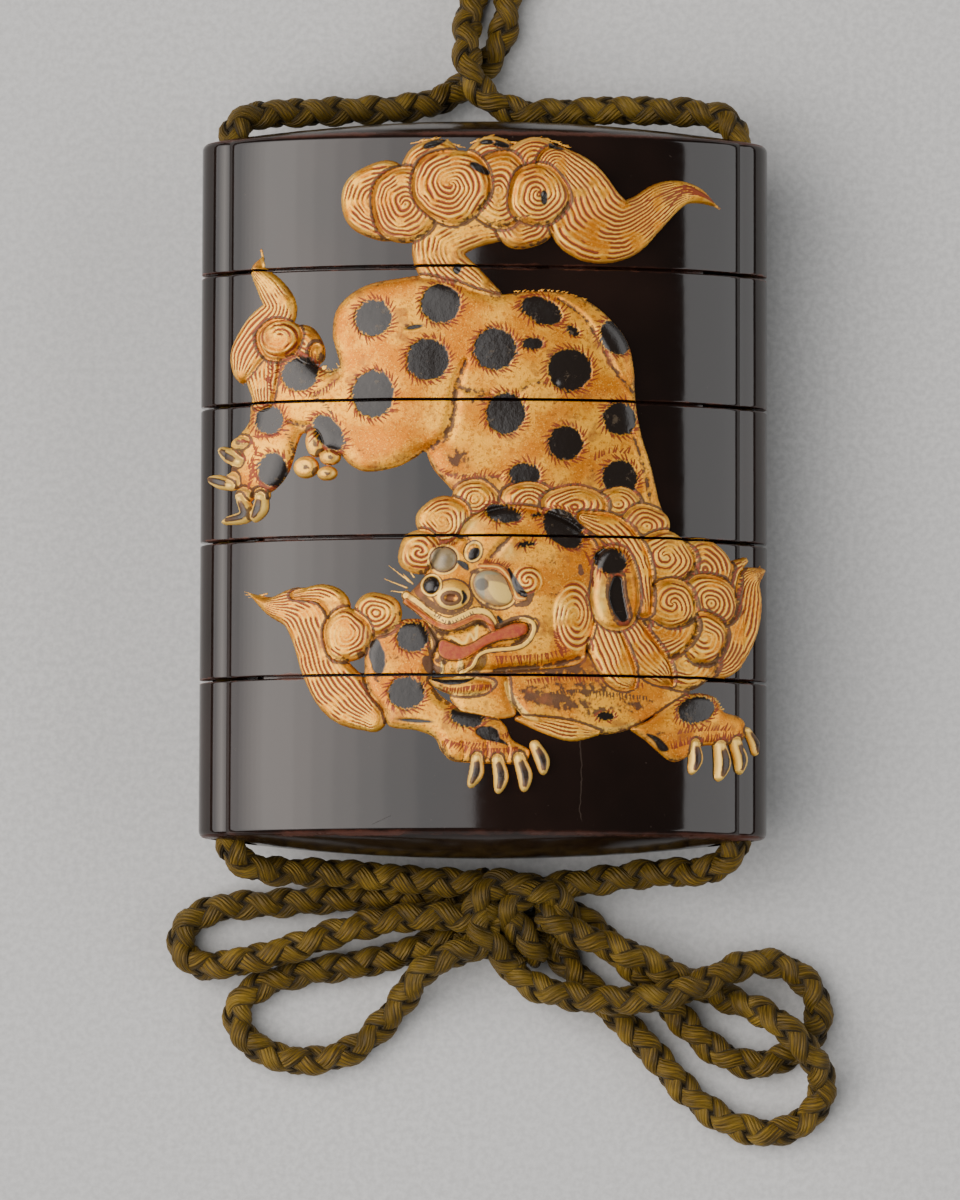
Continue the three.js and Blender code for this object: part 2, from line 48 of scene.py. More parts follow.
ARC_HALF_WIDTH = 29
ARC_HALF_DEPTH = 11
CREASE_X = 26.6
RUNNER_X = 25.5
RUNNER_RADIUS = 4.3
BACK_FLAT_HALF = 3.5
BOTTOM_RIM = -36.75
SEAMS = (-20.45, -5.95, 8.3, 22.3)
TOP_RIM = 36.4
BOTTOM_DOME = 2.1
TOP_DOME = 2.45
GAP = 0.3
WALL = 1.4
RISER_WALL = 0.9
RISER_HEIGHT = 4
FLOOR = 1.2
END_WALL = 1.6
HOLLOW_HALF_WIDTH = 22.4
LIE = 1.65
CHANNEL_X = 26.6
CHANNEL_RADIUS = 1.9
MOUTH_RADIUS = 3.2
MOUTH_THROAT = 2
MOUTH_X = 25.6
MOUTH_DEPTH = 2.8
COIL_MIDDLE = (0.6, 75.6)
CENTRE_Z = ARC_HALF_DEPTH * math.sqrt(1 - (BACK_FLAT_HALF / ARC_HALF_WIDTH) ** 2)
SECTIONS = ("case_4", "case_3", "case_2", "case_1", "lid")

scene = bpy.context.scene


def clamp(value):
    return np.clip(value, 0, 1)


def link(name, mesh):
    piece = bpy.data.objects.new(name, mesh)
    scene.collection.objects.link(piece)
    return piece


def mesh_of(bm, name):
    mesh = bpy.data.meshes.new(name)
    bm.to_mesh(mesh)
    bm.free()
    return mesh


# ---------------------------------------------------------------- camera

def aim_camera():
    """Nearly straight down on the lion, from a metre above."""
    tilt, roll = 0.087, math.radians(0.2)
    distance, half_view = 1000, 63.0716
    target = Vector((-0.35, -11.65, 10.92))
    forward = Vector((0, math.sin(tilt), -math.cos(tilt)))
    right = Vector((1, 0, 0))
    up = right.cross(forward)
    right, up = (right * math.cos(roll) + up * math.sin(roll),
                 up * math.cos(roll) - right * math.sin(roll))
    lens = bpy.data.cameras.new("camera")
    lens.sensor_fit = "VERTICAL"
    lens.angle = 2 * math.atan(half_view / distance)
    lens.clip_start, lens.clip_end = 0.05, 20
    camera = bpy.data.objects.new("camera", lens)
    turn = Matrix((right, up, -forward)).transposed().to_4x4()
    camera.matrix_world = Matrix.Translation((target - forward * distance) * MM) @ turn
    scene.collection.objects.link(camera)
    scene.camera = camera


aim_camera()

# ---------------------------------------------------------------- shader maths


def maths(operation, swapped=False):
    """A method that passes a value through a Math node, with another where it takes two."""

    def method(self, *others):
        terms = [*others, self] if swapped else [self, *others]
        return self.paint.node("ShaderNodeMath", {"operation": operation}, dict(enumerate(terms)))

    return method


class Value:
    """A socket that takes part in Python arithmetic."""

    def __init__(self, paint, socket):
        self.paint = paint
        self.socket = socket

    __add__ = maths("ADD")
    __radd__ = maths("ADD", swapped=True)
    __sub__ = maths("SUBTRACT")
    __rsub__ = maths("SUBTRACT", swapped=True)
    __mul__ = maths("MULTIPLY")
    __rmul__ = maths("MULTIPLY", swapped=True)
    __abs__ = maths("ABSOLUTE")
    sine = maths("SINE")
    least = maths("MINIMUM")
    most = maths("MAXIMUM")

    def ramp(self, low, high, to_low=0.0, to_high=1.0):
        """A smooth step from one value to another."""
        return self.paint.node(
            "ShaderNodeMapRange", {"interpolation_type": "SMOOTHSTEP"},
            {"Value": self, "From Min": low, "From Max": high, "To Min": to_low, "To Max": to_high})


class Paint:
    """One material and the nodes in it."""

    def __init__(self, name):
        self.material = bpy.data.materials.new(name)
        self.material.use_nodes = True
        self.tree = self.material.node_tree
        self.tree.nodes.clear()
        self.coordinates = self.node("ShaderNodeTexCoord", output="Object")

    def node(self, kind, settings=None, sockets=None, output=0):
        made = self.tree.nodes.new(kind)
        for name, setting in (settings or {}).items():
            setattr(made, name, setting)
        for name, value in (sockets or {}).items():
            if isinstance(value, Value):
                self.tree.links.new(value.socket, made.inputs[name])
            else:
                made.inputs[name].default_value = value
        return Value(self, made.outputs[output])

    def noise(self, scale, detail=3.0, roughness=0.55, at=None):
        """Noise from 0 to 1 with a grain of 1 / scale metres."""
        return self.node("ShaderNodeTexNoise", None, {
            "Vector": at or self.coordinates, "Scale": scale, "Detail": detail, "Roughness": roughness})

    def mix(self, share, low, high):
        """A colour between two colours."""
        made = self.tree.nodes.new("ShaderNodeMix")
        made.data_type = "RGBA"
        for socket, value in ((made.inputs[0], share), (made.inputs[6], low), (made.inputs[7], high)):
            if isinstance(value, Value):
                self.tree.links.new(value.socket, socket)
            else:
                socket.default_value = value if isinstance(value, float) else (*value, 1)
        return Value(self, made.outputs[2])

    def split(self, kind, value):
        made = self.tree.nodes.new(kind)
        self.tree.links.new(value.socket, made.inputs[0])
        return [Value(self, out) for out in made.outputs]

    def axes(self, vector):
        return self.split("ShaderNodeSeparateXYZ", vector)

    def masks(self, name):
        """The three channels of a colour attribute."""
        colour = self.node("ShaderNodeAttribute", {"attribute_name": name}, None, "Color")
        return self.split("ShaderNodeSeparateColor", colour)

    def bump(self, height, depth, strength=1.0, normal=None):
        sockets = {"Height": height, "Distance": depth, "Strength": strength}
        if normal:
            sockets["Normal"] = normal
        return self.node("ShaderNodeBump", None, sockets)

    def finish(self, **sockets):
        """The material, with these sockets on its one shader."""
        named = {name.replace("_", " "): value for name, value in sockets.items()}
        shader = self.node("ShaderNodeBsdfPrincipled", None, named)
        out = self.tree.nodes.new("ShaderNodeOutputMaterial")
        self.tree.links.new(shader.socket, out.inputs["Surface"])
        return self.material


# ---------------------------------------------------------------- the silk cord

ROUTES = {
    "left_above": [
        (-26.6, 36.6, CENTRE_Z), (-26.5, 37.8, 10.8), (-25.7, 39.1, 10.1), (-23.4, 40, 8.8),
        (-19.6, 40.4, 7.4), (-14.9, 40.8, 6), (-9, 41.3, 4.4), (-4.8, 42.5, 2.6),
        (-2.2, 44.3, 1.75), (0.2, 46.6, LIE), (1.7, 49.3, LIE), (2.3, 52.1, LIE), (2.6, 54.4, LIE)],
    "right_above": [
        (26.6, 36.6, CENTRE_Z), (26.5, 37.8, 10.8), (25.7, 39.2, 10.1), (23.3, 40.2, 9),
        (18.5, 40.6, 8), (13.3, 40.8, 7.2), (8, 40.6, 6.5), (3.7, 40.7, 6.1), (0.8, 41.8, 5.9),
        (-1, 43.8, 5.6), (-1.9, 46.5, 5), (-2, 49.6, 3.2), (-1.7, 52.1, 1.75), (-1.3, 54.4, LIE)],
    "left_below": [
        (-26.6, -36.2, CENTRE_Z), (-26.5, -37.5, 10.8), (-25.4, -39.1, 10), (-22.8, -40, 8.4),
        (-19.2, -40.1, 6.6), (-14.8, -40.2, 5.5), (-9.8, -40.6, 5.1), (-4.5, -41, 5.1),
        (0.4, -41.1, 4.9)],
    "right_below": [
        (26.6, -36.2, CENTRE_Z), (26.5, -37.5, 10.8), (25.3, -39.1, 10), (23, -40, 8.8),
        (20.2, -40, 7.2), (16.6, -40.2, 5.9), (12.4, -40.8, 5.1), (7, -41.5, 4.6)],
    "bow_upper_left": [
        (1.4, -42.8, 1.9), (-2.5, -42.7, LIE), (-6, -42.3, LIE), (-11, -42.3, LIE),
        (-16.5, -42.7, LIE), (-22.5, -43.2, LIE), (-28, -43.7, LIE), (-31.2, -45.4, LIE),
        (-31.8, -47.9, LIE), (-29.8, -49.7, 2.2), (-25.6, -49.4, 3.6), (-20.6, -48.2, 4.3),
        (-14.9, -46.2, 4), (-9.4, -44.9, 4), (-4.5, -44.6, 4.8), (-1.2, -44.75, 5),
        (1.8, -43.7, 4.8)],
    "bow_lower_left": [
        (1.9, -45.2, 2.4), (-1.5, -46.1, LIE), (-5, -47.2, LIE), (-9.4, -48.7, LIE),
        (-14, -49.7, LIE), (-18.6, -50.4, LIE), (-22.8, -51.6, LIE), (-25.6, -53.6, LIE),
        (-25.6, -56.4, LIE), (-23, -58.8, LIE), (-18.7, -59.8, LIE), (-13.9, -58.7, LIE),
        (-10.6, -56, LIE), (-8.3, -53.2, 2.6), (-6.6, -50.8, 4.4), (-4.2, -49, 5.1),
        (-1.6, -48.2, 5), (1.3, -46.4, 3.9)],
    "bow_upper_right": [
        (2.8, -45.6, 3), (2.5, -48.4, 2.6), (4.4, -51.3, 3.6), (8.8, -52.9, 4.8), (13, -53.4, 5.6),
        (16.4, -53.4, 6), (19.4, -52.9, 6.4), (22.4, -52, 6.2), (25.4, -50.5, 4.9),
        (28.8, -49.3, 3.2), (32.4, -49.9, 1.8), (35.2, -52.6, LIE), (35.3, -56.2, LIE),
        (32.4, -59, LIE), (28.4, -60, LIE), (24.2, -58.2, LIE), (20.6, -54.8, LIE),
        (17.4, -51.4, LIE), (14.2, -48, LIE), (11, -45, LIE), (7, -42.6, 2)],
    "bow_lower_right": [
        (6.2, -44.4, 4.8), (9, -46.1, 5.1), (12.6, -47.4, 5.1), (16.4, -48.9, 5.1),
        (19.4, -50.3, 4), (22.4, -51.6, 2.2), (25.6, -52.9, LIE), (29.2, -54.4, 3.6),
        (32, -56.3, 5.4), (34.4, -58.8, 5.2), (36, -62.2, 2.6), (34.6, -65.4, LIE),
        (30.8, -67.2, LIE), (26.2, -66.2, LIE), (21.8, -63, LIE), (18.4, -59.2, LIE),
        (15, -55.6, LIE), (11.6, -52.2, LIE), (8.6, -49, LIE), (7, -46.6, LIE), (5.4, -44.2, 2)],
}
# The knot's wraps, which lie over the ends of the loops.
WRAPS = [
    [(7.2, -44.6, 2.6), (6.4, -42.6, 4.0), (4.4, -41.3, 5.2), (2.0, -41.1, 5.7), (0.0, -42.4, 5.7),
     (-0.7, -44.6, 5.4), (0.2, -46.8, 5.1), (1.8, -48.4, 4.2), (3.6, -50.0, 3.0)],
    [(1.9, -45.4, 4.2), (3.0, -43.4, 5.3), (5.2, -41.9, 5.7), (7.6, -42.2, 5.2), (8.5, -44.0, 4.2),
     (7.4, -46.0, 3.2)],
    [(2.2, -42.6, 3.6), (3.2, -44.8, 4.6), (4.6, -46.8, 4.2), (6.2, -48.6, 3.0)],
]


def smooth_route(points, step=0.4):
    """Points an equal step apart on a centripetal Catmull-Rom curve, with directions."""
    points = np.array(points, float)
    ends = [2 * points[0] - points[1], *points, 2 * points[-1] - points[-2]]
    dense = []
    for a, b, c, d in zip(ends, ends[1:], ends[2:], ends[3:]):
        t1 = math.sqrt(np.linalg.norm(b - a))
        t2 = t1 + math.sqrt(np.linalg.norm(c - b))
        t3 = t2 + math.sqrt(np.linalg.norm(d - c))
        t = np.linspace(t1, t2, 24, endpoint=False)[:, None]
        ab = a + (b - a) * t / t1
        bc = b + (c - b) * (t - t1) / (t2 - t1)
        cd = c + (d - c) * (t - t2) / (t3 - t2)
        abc = ab + (bc - ab) * t / t2
        bcd = bc + (cd - bc) * (t - t1) / (t3 - t1)
        dense.append(abc + (bcd - abc) * (t - t1) / (t2 - t1))
    dense = np.vstack([*dense, points[-1:]])
    run = np.concatenate([[0], np.cumsum(np.linalg.norm(np.diff(dense, axis=0), axis=1))])
    count = max(8, int(round(run[-1] / step)) + 1)
    stations = np.linspace(0, run[-1], count)
    return np.stack([np.interp(stations, run, dense[:, k]) for k in range(3)], 1), run[-1]


def sides_along(line):
    """Two directions across the line that turn as little as they can."""
    along = np.gradient(line, axis=0)
    along /= np.linalg.norm(along, axis=1)[:, None]
    side = np.cross(along[0], (0, 0, 1.0))
    if np.linalg.norm(side) < 0.2:
        side = np.cross(along[0], (1.0, 0, 0))
    sides = []
    for direction in along:
        side = side - direction * side.dot(direction)
        side = side / np.linalg.norm(side)
        sides.append(side)
    sides = np.array(sides)
    return sides, np.cross(along, sides)


PITCH = 8.2  # length in which a strand goes once round the braid
STRAND_ORBIT = 0.68
STRAND_SWING = 0.46
STRAND_WIDTH = 1.04
STRAND_HEIGHT = 0.7
STRAND_SIDES = 12
SLOW_TURN = 95  # length in which the whole braid turns once
STRAND_OFFSET = 37  # keeps the strands' fibres from matching


def braid(name, routes, step=0.4):
    """A round braid of four strands along each route, as one mesh with a map whose u goes
    round a strand and whose v is millimetres along it."""
    points, faces, maps = [], [], []
    for route in routes:
        line, length = smooth_route(route, step)
        side, rise = sides_along(line)
        run = np.linspace(0, length, len(line))
        slow_turn = 2 * math.pi * run / SLOW_TURN
        for strand in range(4):
            way = 1 if strand < 2 else -1
            angle = way * 2 * math.pi * run / PITCH + math.pi * (strand % 2)
            orbit = STRAND_ORBIT * (1 + way * STRAND_SWING * np.cos(2 * angle))
            turned = angle + slow_turn
            out = np.cos(turned)[:, None] * side + np.sin(turned)[:, None] * rise
            middle = line + orbit[:, None] * out
            ahead = np.gradient(middle, axis=0)
            ahead /= np.linalg.norm(ahead, axis=1)[:, None]
            across = np.cross(ahead, out)
            across /= np.linalg.norm(across, axis=1)[:, None]
            up = np.cross(across, ahead)
            first = sum(len(p) for p in points)
            for k in range(STRAND_SIDES):
                turn = 2 * math.pi * k / STRAND_SIDES
                points.append(middle + across * (STRAND_WIDTH * math.cos(turn))
                              + up * (STRAND_HEIGHT * math.sin(turn)))
            count = len(line)
            for k in range(STRAND_SIDES):
                a = first + k * count + np.arange(count - 1)
                b = first + (k + 1) % STRAND_SIDES * count + np.arange(count - 1)
                faces.append(np.stack([a, a + 1, b + 1, b], 1))
                low, high = k / STRAND_SIDES, (k + 1) / STRAND_SIDES
                v0, v1 = run[:-1] + strand * STRAND_OFFSET, run[1:] + strand * STRAND_OFFSET
                maps.append(np.stack([np.full_like(v0, low), v0, np.full_like(v0, low), v1,
                                      np.full_like(v0, high), v1, np.full_like(v0, high), v0], 1))
            for end in (0, count - 1):
                ring = first + np.arange(STRAND_SIDES) * count + end
                ring = ring if end else ring[::-1]
                quads = STRAND_SIDES // 2 - 1
                faces.append(np.stack([ring[: quads], ring[1: quads + 1],
                                       ring[::-1][1: quads + 1], ring[::-1][: quads]], 1))
                maps.append(np.zeros((quads, 8)))
    points = np.vstack(points)
    faces = np.vstack(faces)
    mesh = bpy.data.meshes.new(name)
    mesh.from_pydata((points * MM).tolist(), [], faces.tolist())
    mesh.uv_layers.new(name="strand").data.foreach_set("uv", np.vstack(maps).ravel())
    bm = bmesh.new()
    bm.from_mesh(mesh)
    bmesh.ops.recalc_face_normals(bm, faces=bm.faces)
    bm.to_mesh(mesh)
    bm.free()
    mesh.shade_smooth()
    return link(name, mesh)


def silk():
    """Olive gold silk: fine fibres along each strand, with painted shade down in the gaps between strands.
    """
    paint = Paint("silk")
    strand = paint.node("ShaderNodeUVMap", {"uv_map": "strand"})
    u, v, _ = paint.axes(strand)

    def drawn_out(scale, *grain):
        """Noise that is stretched along the strand."""
        mapped = paint.node("ShaderNodeMapping", None, {"Vector": strand, "Scale": scale})
        return paint.noise(1.0, *grain, at=mapped)

    wander = drawn_out((9.0, 0.35, 1), 2.0)
    fibres = ((u * 16 + v * 0.3 + wander * 1.6) * (2 * math.pi)).sine() * 0.5 + 0.5
    threads = drawn_out((30.0, 0.6, 1), 3.0, 0.6)
    # painted shade: each strand darkens towards its sides, where it dips into the gaps of the braid
    deep = (u * (2 * math.pi)).sine().ramp(-0.15, 0.85, 1.0, 0.0)
    patches = paint.noise(260, 2.0)
    fade = paint.noise(70, 2.0)
    colour = paint.mix(threads.ramp(0.32, 0.68), (0.042, 0.023, 0.001), (0.2, 0.116, 0.007))
    colour = paint.mix(fibres * 0.5, colour, (0.04, 0.021, 0.001))
    colour = paint.mix(patches.ramp(0.5, 0.72, 0.0, 0.45), colour, (0.3, 0.185, 0.02))
    colour = paint.mix(fade.ramp(0.35, 0.65, 0.0, 0.3), colour, (0.05, 0.034, 0.004))
    colour = paint.mix(deep * 0.95, colour, (0.008, 0.0045, 0.0006))
    fine = paint.bump(fibres * 0.7 + threads, 0.00012)
    return paint.finish(Base_Color=colour, Roughness=threads.ramp(0.2, 0.8, 0.42, 0.62),
                        Normal=fine, Sheen_Weight=0.05, Sheen_Roughness=0.4,
                        Sheen_Tint=(1.0, 0.85, 0.5, 1), Specular_IOR_Level=0.22)


silk_thread = silk()


def coil_route():
    """Nearly three turns beside and over each other, from the left strand to the right."""
    start, sweep, count = math.radians(305), math.radians(1010), 66
    stops = [0, 0.06, 0.33, 0.4, 0.68, 0.75, 1]
    radii = [18.8, 18.6, 18.6, 15.4, 15.4, 17, 17.4]
    heights = [1.65, 1.65, 1.65, 1.65, 1.65, 4.4, 4.5]
    shares = np.arange(count + 1) / count
    angles = start + sweep * shares
    radii = np.interp(shares, stops, radii)
    return list(zip(COIL_MIDDLE[0] + radii * np.cos(angles), COIL_MIDDLE[1] + radii * np.sin(angles),
                    np.interp(shares, stops, heights)))


def carrying_route():
    """From the knot up the left side, round the coil and down the right side to the knot."""
    middle = [(y, CENTRE_Z) for y in np.linspace(BOTTOM_RIM + 6, TOP_RIM - 6, 8)]
    left = [(-CHANNEL_X, y, z) for y, z in middle]
    right = [(CHANNEL_X, y, z) for y, z in reversed(middle)]
    return [*ROUTES["left_below"][::-1], *left, *ROUTES["left_above"], *coil_route(),
            *ROUTES["right_above"][::-1], *right, *ROUTES["right_below"]]


def lay_cords():
    knot = braid("bow_knot_wraps", WRAPS, 0.3)
    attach(knot, "root")
    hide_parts("bow_knot")
    knot.data.materials.append(silk_thread)
    strands = {
        "carrying_cord": (carrying_route(), (
            "cord_left_above", "cord_right_above", "cord_left_below", "cord_right_below",
            "cord_left_runner", "cord_right_runner", "cord_coil")),
    }
    for name in ("bow_upper_left", "bow_lower_left", "bow_upper_right", "bow_lower_right"):
        strands[name + "_loop"] = (ROUTES[name], (name,))
    for name, (route, nodes) in strands.items():
        piece = braid(name, [route])
        line, length = smooth_route(route, 0.8)
        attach(piece, "root")
        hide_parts(*nodes)
        piece.data.materials.append(silk_thread)


lay_cords()

# ---------------------------------------------------------------- lacquered sections

FRONT_POINTS = 96
SIDE_POINTS = 22
BACK_POINTS = 60


def half_depth(x):
    return ARC_HALF_DEPTH * np.sqrt(np.clip(1 - (np.asarray(x, float) / ARC_HALF_WIDTH) ** 2, 0, None))


def outline():
    """The lens-shaped section about its centre, with a fine groove where each rounded
    side runner meets the arcs."""
    crease = math.asin(CREASE_X / ARC_HALF_WIDTH)
    front = ARC_HALF_WIDTH * np.sin(np.linspace(-crease, crease, FRONT_POINTS))
    points = [(x, float(half_depth(x))) for x in front]
    runner = math.acos((CREASE_X + 0.25 - RUNNER_X) / RUNNER_RADIUS)
    side = [(RUNNER_X + RUNNER_RADIUS * math.cos(a), RUNNER_RADIUS * math.sin(a))
            for a in np.linspace(runner, -runner, SIDE_POINTS)]
    notch = (CREASE_X + 0.14, 4.2)
    points += [notch, *side, (notch[0], -notch[1])]
    back = ARC_HALF_WIDTH * np.sin(np.linspace(crease, -crease, BACK_POINTS))
    flat = float(half_depth(BACK_FLAT_HALF))
    points += [(x, -min(float(half_depth(x)), flat)) for x in back]
    points += [(-notch[0], -notch[1]), *[(-x, z) for x, z in reversed(side)], (-notch[0], notch[1])]
    return np.array(points)


def hollow(thickness, half_width, count):
    """A hollow a wall's thickness inside the arcs, with as many points as the outline."""
    angles = 2 * math.pi * np.arange(count) / count
    start = SIDE_POINTS / 2 + 1
    angles = math.pi - angles - 2 * math.pi * start / count
    x = half_width * np.cos(angles)
    depth = half_depth(x) * (ARC_HALF_DEPTH - thickness) / ARC_HALF_DEPTH
    shape = np.sin(angles)
    near_tip = clamp(np.abs(shape) * 6)
    return np.stack([x, np.sign(shape) * depth * near_tip], 1)


def inset(points, distance):
    """The outline moved inwards along its own normals."""
    ahead = np.roll(points, -1, 0) - np.roll(points, 1, 0)
    ahead /= np.linalg.norm(ahead, axis=1)[:, None]
    return points + distance * np.stack([ahead[:, 1], -ahead[:, 0]], 1)


def shell(name, rings):
    """A closed skin: a first ring of vertices, extruded edge by edge from ring to ring."""
    bm = bmesh.new()
    around = bm.verts.layers.int.new("around")
    count = len(rings[0][0])
    vertices = [bm.verts.new((0, 0, 0)) for _ in range(count)]
    for i, vertex in enumerate(vertices):
        vertex[around] = i
    edges = [bm.edges.new((vertices[i], vertices[(i + 1) % count])) for i in range(count)]
    for number, (points, y) in enumerate(rings):
        if number:
            made = bmesh.ops.extrude_edge_only(bm, edges=edges)["geom"]
            vertices = [v for v in made if isinstance(v, bmesh.types.BMVert)]
            new = set(vertices)
            edges = [e for e in made if isinstance(e, bmesh.types.BMEdge) and new.issuperset(e.verts)]
        for vertex in vertices:
            x, z = points[vertex[around]]
            vertex.co = Vector((x, y, CENTRE_Z + z)) * MM
        if number in (0, len(rings) - 1):
            bmesh.ops.contextual_create(bm, geom=edges)
    bmesh.ops.recalc_face_normals(bm, faces=bm.faces)
    return mesh_of(bm, name)


LIP = 0.75  # radius of the rounded edge round a domed end
SEAM_EDGE = ((0.3, 0), (0.07, 0.04), (0.015, 0.12), (0, 0.25))  # inwards, and off the seam


def dome(skin, rim, height):
    """Rings over a shallow domed end, from its middle out to the rim's rounded edge."""
    rings = [(skin * s, rim + height * (1 - s * s)) for s in (0.03, 0.12, 0.25, 0.4, 0.55, 0.7, 0.82, 0.91)]
    for turn in (10, 30, 50, 70, 90):
        angle = math.radians(turn)
        rings.append((inset(skin, LIP * (1 - math.sin(angle))),
                      rim + math.copysign(1, height) * (0.1 - LIP * (1 - math.cos(angle)))))
    return rings


def section_rings(i):
    skin = outline()
    count = len(skin)
    riser = hollow(WALL + GAP, HOLLOW_HALF_WIDTH + RISER_WALL, count)
    socket = hollow(WALL, HOLLOW_HALF_WIDTH + RISER_WALL + GAP, count)
    cavity = hollow(WALL + GAP + RISER_WALL, HOLLOW_HALF_WIDTH, count)
    bottom = BOTTOM_RIM if i == 0 else SEAMS[i - 1] + GAP / 2
    top = TOP_RIM if i == len(SEAMS) else SEAMS[i] - GAP / 2
    rings = []
    if i == 0:
        rings += dome(skin, bottom, -BOTTOM_DOME)
        floor = bottom + END_WALL
    else:
        ceiling = bottom + RISER_HEIGHT + GAP if i < len(SEAMS) else TOP_RIM - END_WALL
        floor = ceiling + FLOOR
        rings += [(socket * 0.5, ceiling), (socket * 0.97, ceiling), (socket, ceiling - 0.3),
                  (socket, bottom + 0.2), (inset(socket, -0.15), bottom)]
        rings += [(inset(skin, inwards), bottom + off) for inwards, off in SEAM_EDGE]
    if i == len(SEAMS):
        rings += [(skin, top - 1.2), *dome(skin, top, TOP_DOME)[::-1]]
        return rings
    rings += [(inset(skin, inwards), top - off) for inwards, off in reversed(SEAM_EDGE)]
    rings += [(inset(riser, -0.1), top), (riser, top + 0.1), (riser, top + RISER_HEIGHT - 0.2),
              (inset(riser, 0.12), top + RISER_HEIGHT), (inset(cavity, -0.1), top + RISER_HEIGHT),
              (cavity, top + RISER_HEIGHT - 0.15), (cavity, floor + 0.5), (cavity * 0.98, floor + 0.1),
              (cavity * 0.9, floor), (cavity * 0.4, floor)]
    return rings


def cutter(name, cones):
    """Cones to cut away along the case, one on each side: x, y, two radii and length."""
    bm = bmesh.new()
    turn = Matrix.Rotation(math.radians(90), 4, "X")
    for side in (-1, 1):
        for x, y, upper, lower, depth in cones:
            bmesh.ops.create_cone(
                bm, cap_ends=True, segments=32, radius1=upper * MM, radius2=lower * MM, depth=depth * MM,
                matrix=Matrix.Translation(Vector((side * x, y, CENTRE_Z)) * MM) @ turn)
    bmesh.ops.recalc_face_normals(bm, faces=bm.faces)
    return link(name, mesh_of(bm, name))


def settled(piece):
    """The piece's mesh with its modifiers applied."""
    graph = bpy.context.evaluated_depsgraph_get()
    mesh = bpy.data.meshes.new_from_object(piece.evaluated_get(graph))
    piece.modifiers.clear()
    piece.data = mesh
    return mesh


CRACK_X = 10.2
FLAW_X = -18.8
SCRATCH = (-10.5, -35.5)
SCRATCH_SLOPE = 0.47


def lacquer(name, dull, ior):
    """Dark brown lacquer under a clear polish, with rust-red wear where the seams chip."""
    paint = Paint(name)
    x, y, z = paint.axes(paint.coordinates)
    broad = paint.noise(60, 3.0)
    fine = paint.noise(900, 4.0, 0.65)
    flecks = paint.noise(2600, 2.0, 0.5)
    colour = paint.mix(broad.ramp(0.35, 0.7), (0.0065, 0.0032, 0.0022), (0.013, 0.006, 0.0042))
    ragged = (paint.noise(420, 4.0, 0.7) - 0.5) * 0.0009
    nearest = None
    for seam in SEAMS:
        gap = abs(y - seam * MM)
        nearest = gap if nearest is None else nearest.least(gap)
    chips = (nearest + ragged).ramp(0.00034, 0.00018)
    patchy = paint.noise(230, 3.0, 0.6).ramp(0.46, 0.62)
    colour = paint.mix(chips * (patchy * 0.75 + 0.2), colour, (0.085, 0.026, 0.014))
    past_rim = abs(y - (TOP_RIM + BOTTOM_RIM) / 2 * MM) - (TOP_RIM - BOTTOM_RIM) / 2 * MM + ragged * 0.7
    rim = past_rim.ramp(-0.000375, 0.000025) * past_rim.ramp(0.000375, 0.000125)
    worn = rim * paint.noise(120, 4.0, 0.6).ramp(0.3, 0.6)
    colour = paint.mix(worn * 0.8, colour, (0.1, 0.034, 0.022))
    colour = paint.mix(flecks.ramp(0.74, 0.8, 0.0, 0.25), colour, (0.12, 0.09, 0.07))
    front = z.ramp(0.012, 0.013)
    crack = abs(x + (paint.noise(300, 3.0, 0.6) - 0.5) * 0.0012 - CRACK_X * MM).ramp(0.00009, 0.00003)
    crack = crack * y.ramp(-0.0262, -0.0268) * y.ramp(-0.0358, -0.035)
    flaw = abs(x + (paint.noise(500, 2.0) - 0.5) * 0.0004 - FLAW_X * MM).ramp(0.00008, 0.00003)
    crack = crack.most(flaw * y.ramp(-0.0165, -0.017) * y.ramp(-0.0203, -0.02))
    colour = paint.mix(crack * front * 0.22, colour, (0.12, 0.09, 0.07))
    right, up = x - SCRATCH[0] * MM, y - SCRATCH[1] * MM
    scratch = abs(up - right * SCRATCH_SLOPE + (fine - 0.5) * 0.0001).ramp(0.00009, 0.00003)
    scratch = scratch * abs(right).ramp(0.0011, 0.0009) * front
    rough = dull + fine.ramp(0.3, 0.8) * 0.03 + (chips * patchy + worn * 0.5) * 0.35 + scratch * 0.4
    ripple = paint.bump(paint.noise(95, 2.0), 0.00006, 0.5)
    skin = paint.bump(fine + flecks * 0.5, 0.0000025, 0.6, ripple)
    return paint.finish(Base_Color=colour, Roughness=rough, Normal=skin, IOR=ior)


def make_sections():
    polish, rubbed = lacquer("lacquer", 0.07, 1.52), lacquer("lacquer_ends", 0.16, 1.22)
    channels = cutter("channels", [
        (CHANNEL_X, 0, CHANNEL_RADIUS, CHANNEL_RADIUS, TOP_RIM - BOTTOM_RIM + 8)])
    top_mouths = cutter("top_mouths", [
        (MOUTH_X, TOP_RIM - 0.6, MOUTH_THROAT, MOUTH_RADIUS, MOUTH_DEPTH)])
    bottom_mouths = cutter("bottom_mouths", [
        (MOUTH_X, BOTTOM_RIM + 0.6, MOUTH_RADIUS, MOUTH_THROAT, MOUTH_DEPTH)])
    for i, name in enumerate(SECTIONS):
        piece = link(name + "_skin", shell(name + "_skin", section_rings(i)))
        tools = [channels] + [bottom_mouths] * (i == 0) + [top_mouths] * (i == len(SEAMS))
        for tool in tools:
            cut = piece.modifiers.new(tool.name, "BOOLEAN")
            cut.operation, cut.solver, cut.object = "DIFFERENCE", "MANIFOLD", tool
        mesh = settled(piece)
        mesh.shade_smooth()
        mesh.set_sharp_from_angle(angle=math.radians(32))
        mesh.materials.clear()
        for coat in (polish, rubbed):
            mesh.materials.append(coat)
        for face in mesh.polygons:
            past_rim = max(face.center.y - TOP_RIM * MM, BOTTOM_RIM * MM - face.center.y) > -0.0001
            face.material_index = int(past_rim and abs(face.normal.y) > 0.6)
        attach(piece, "root")
        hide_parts(name)
    for tool in (channels, top_mouths, bottom_mouths):
        bpy.data.objects.remove(tool)


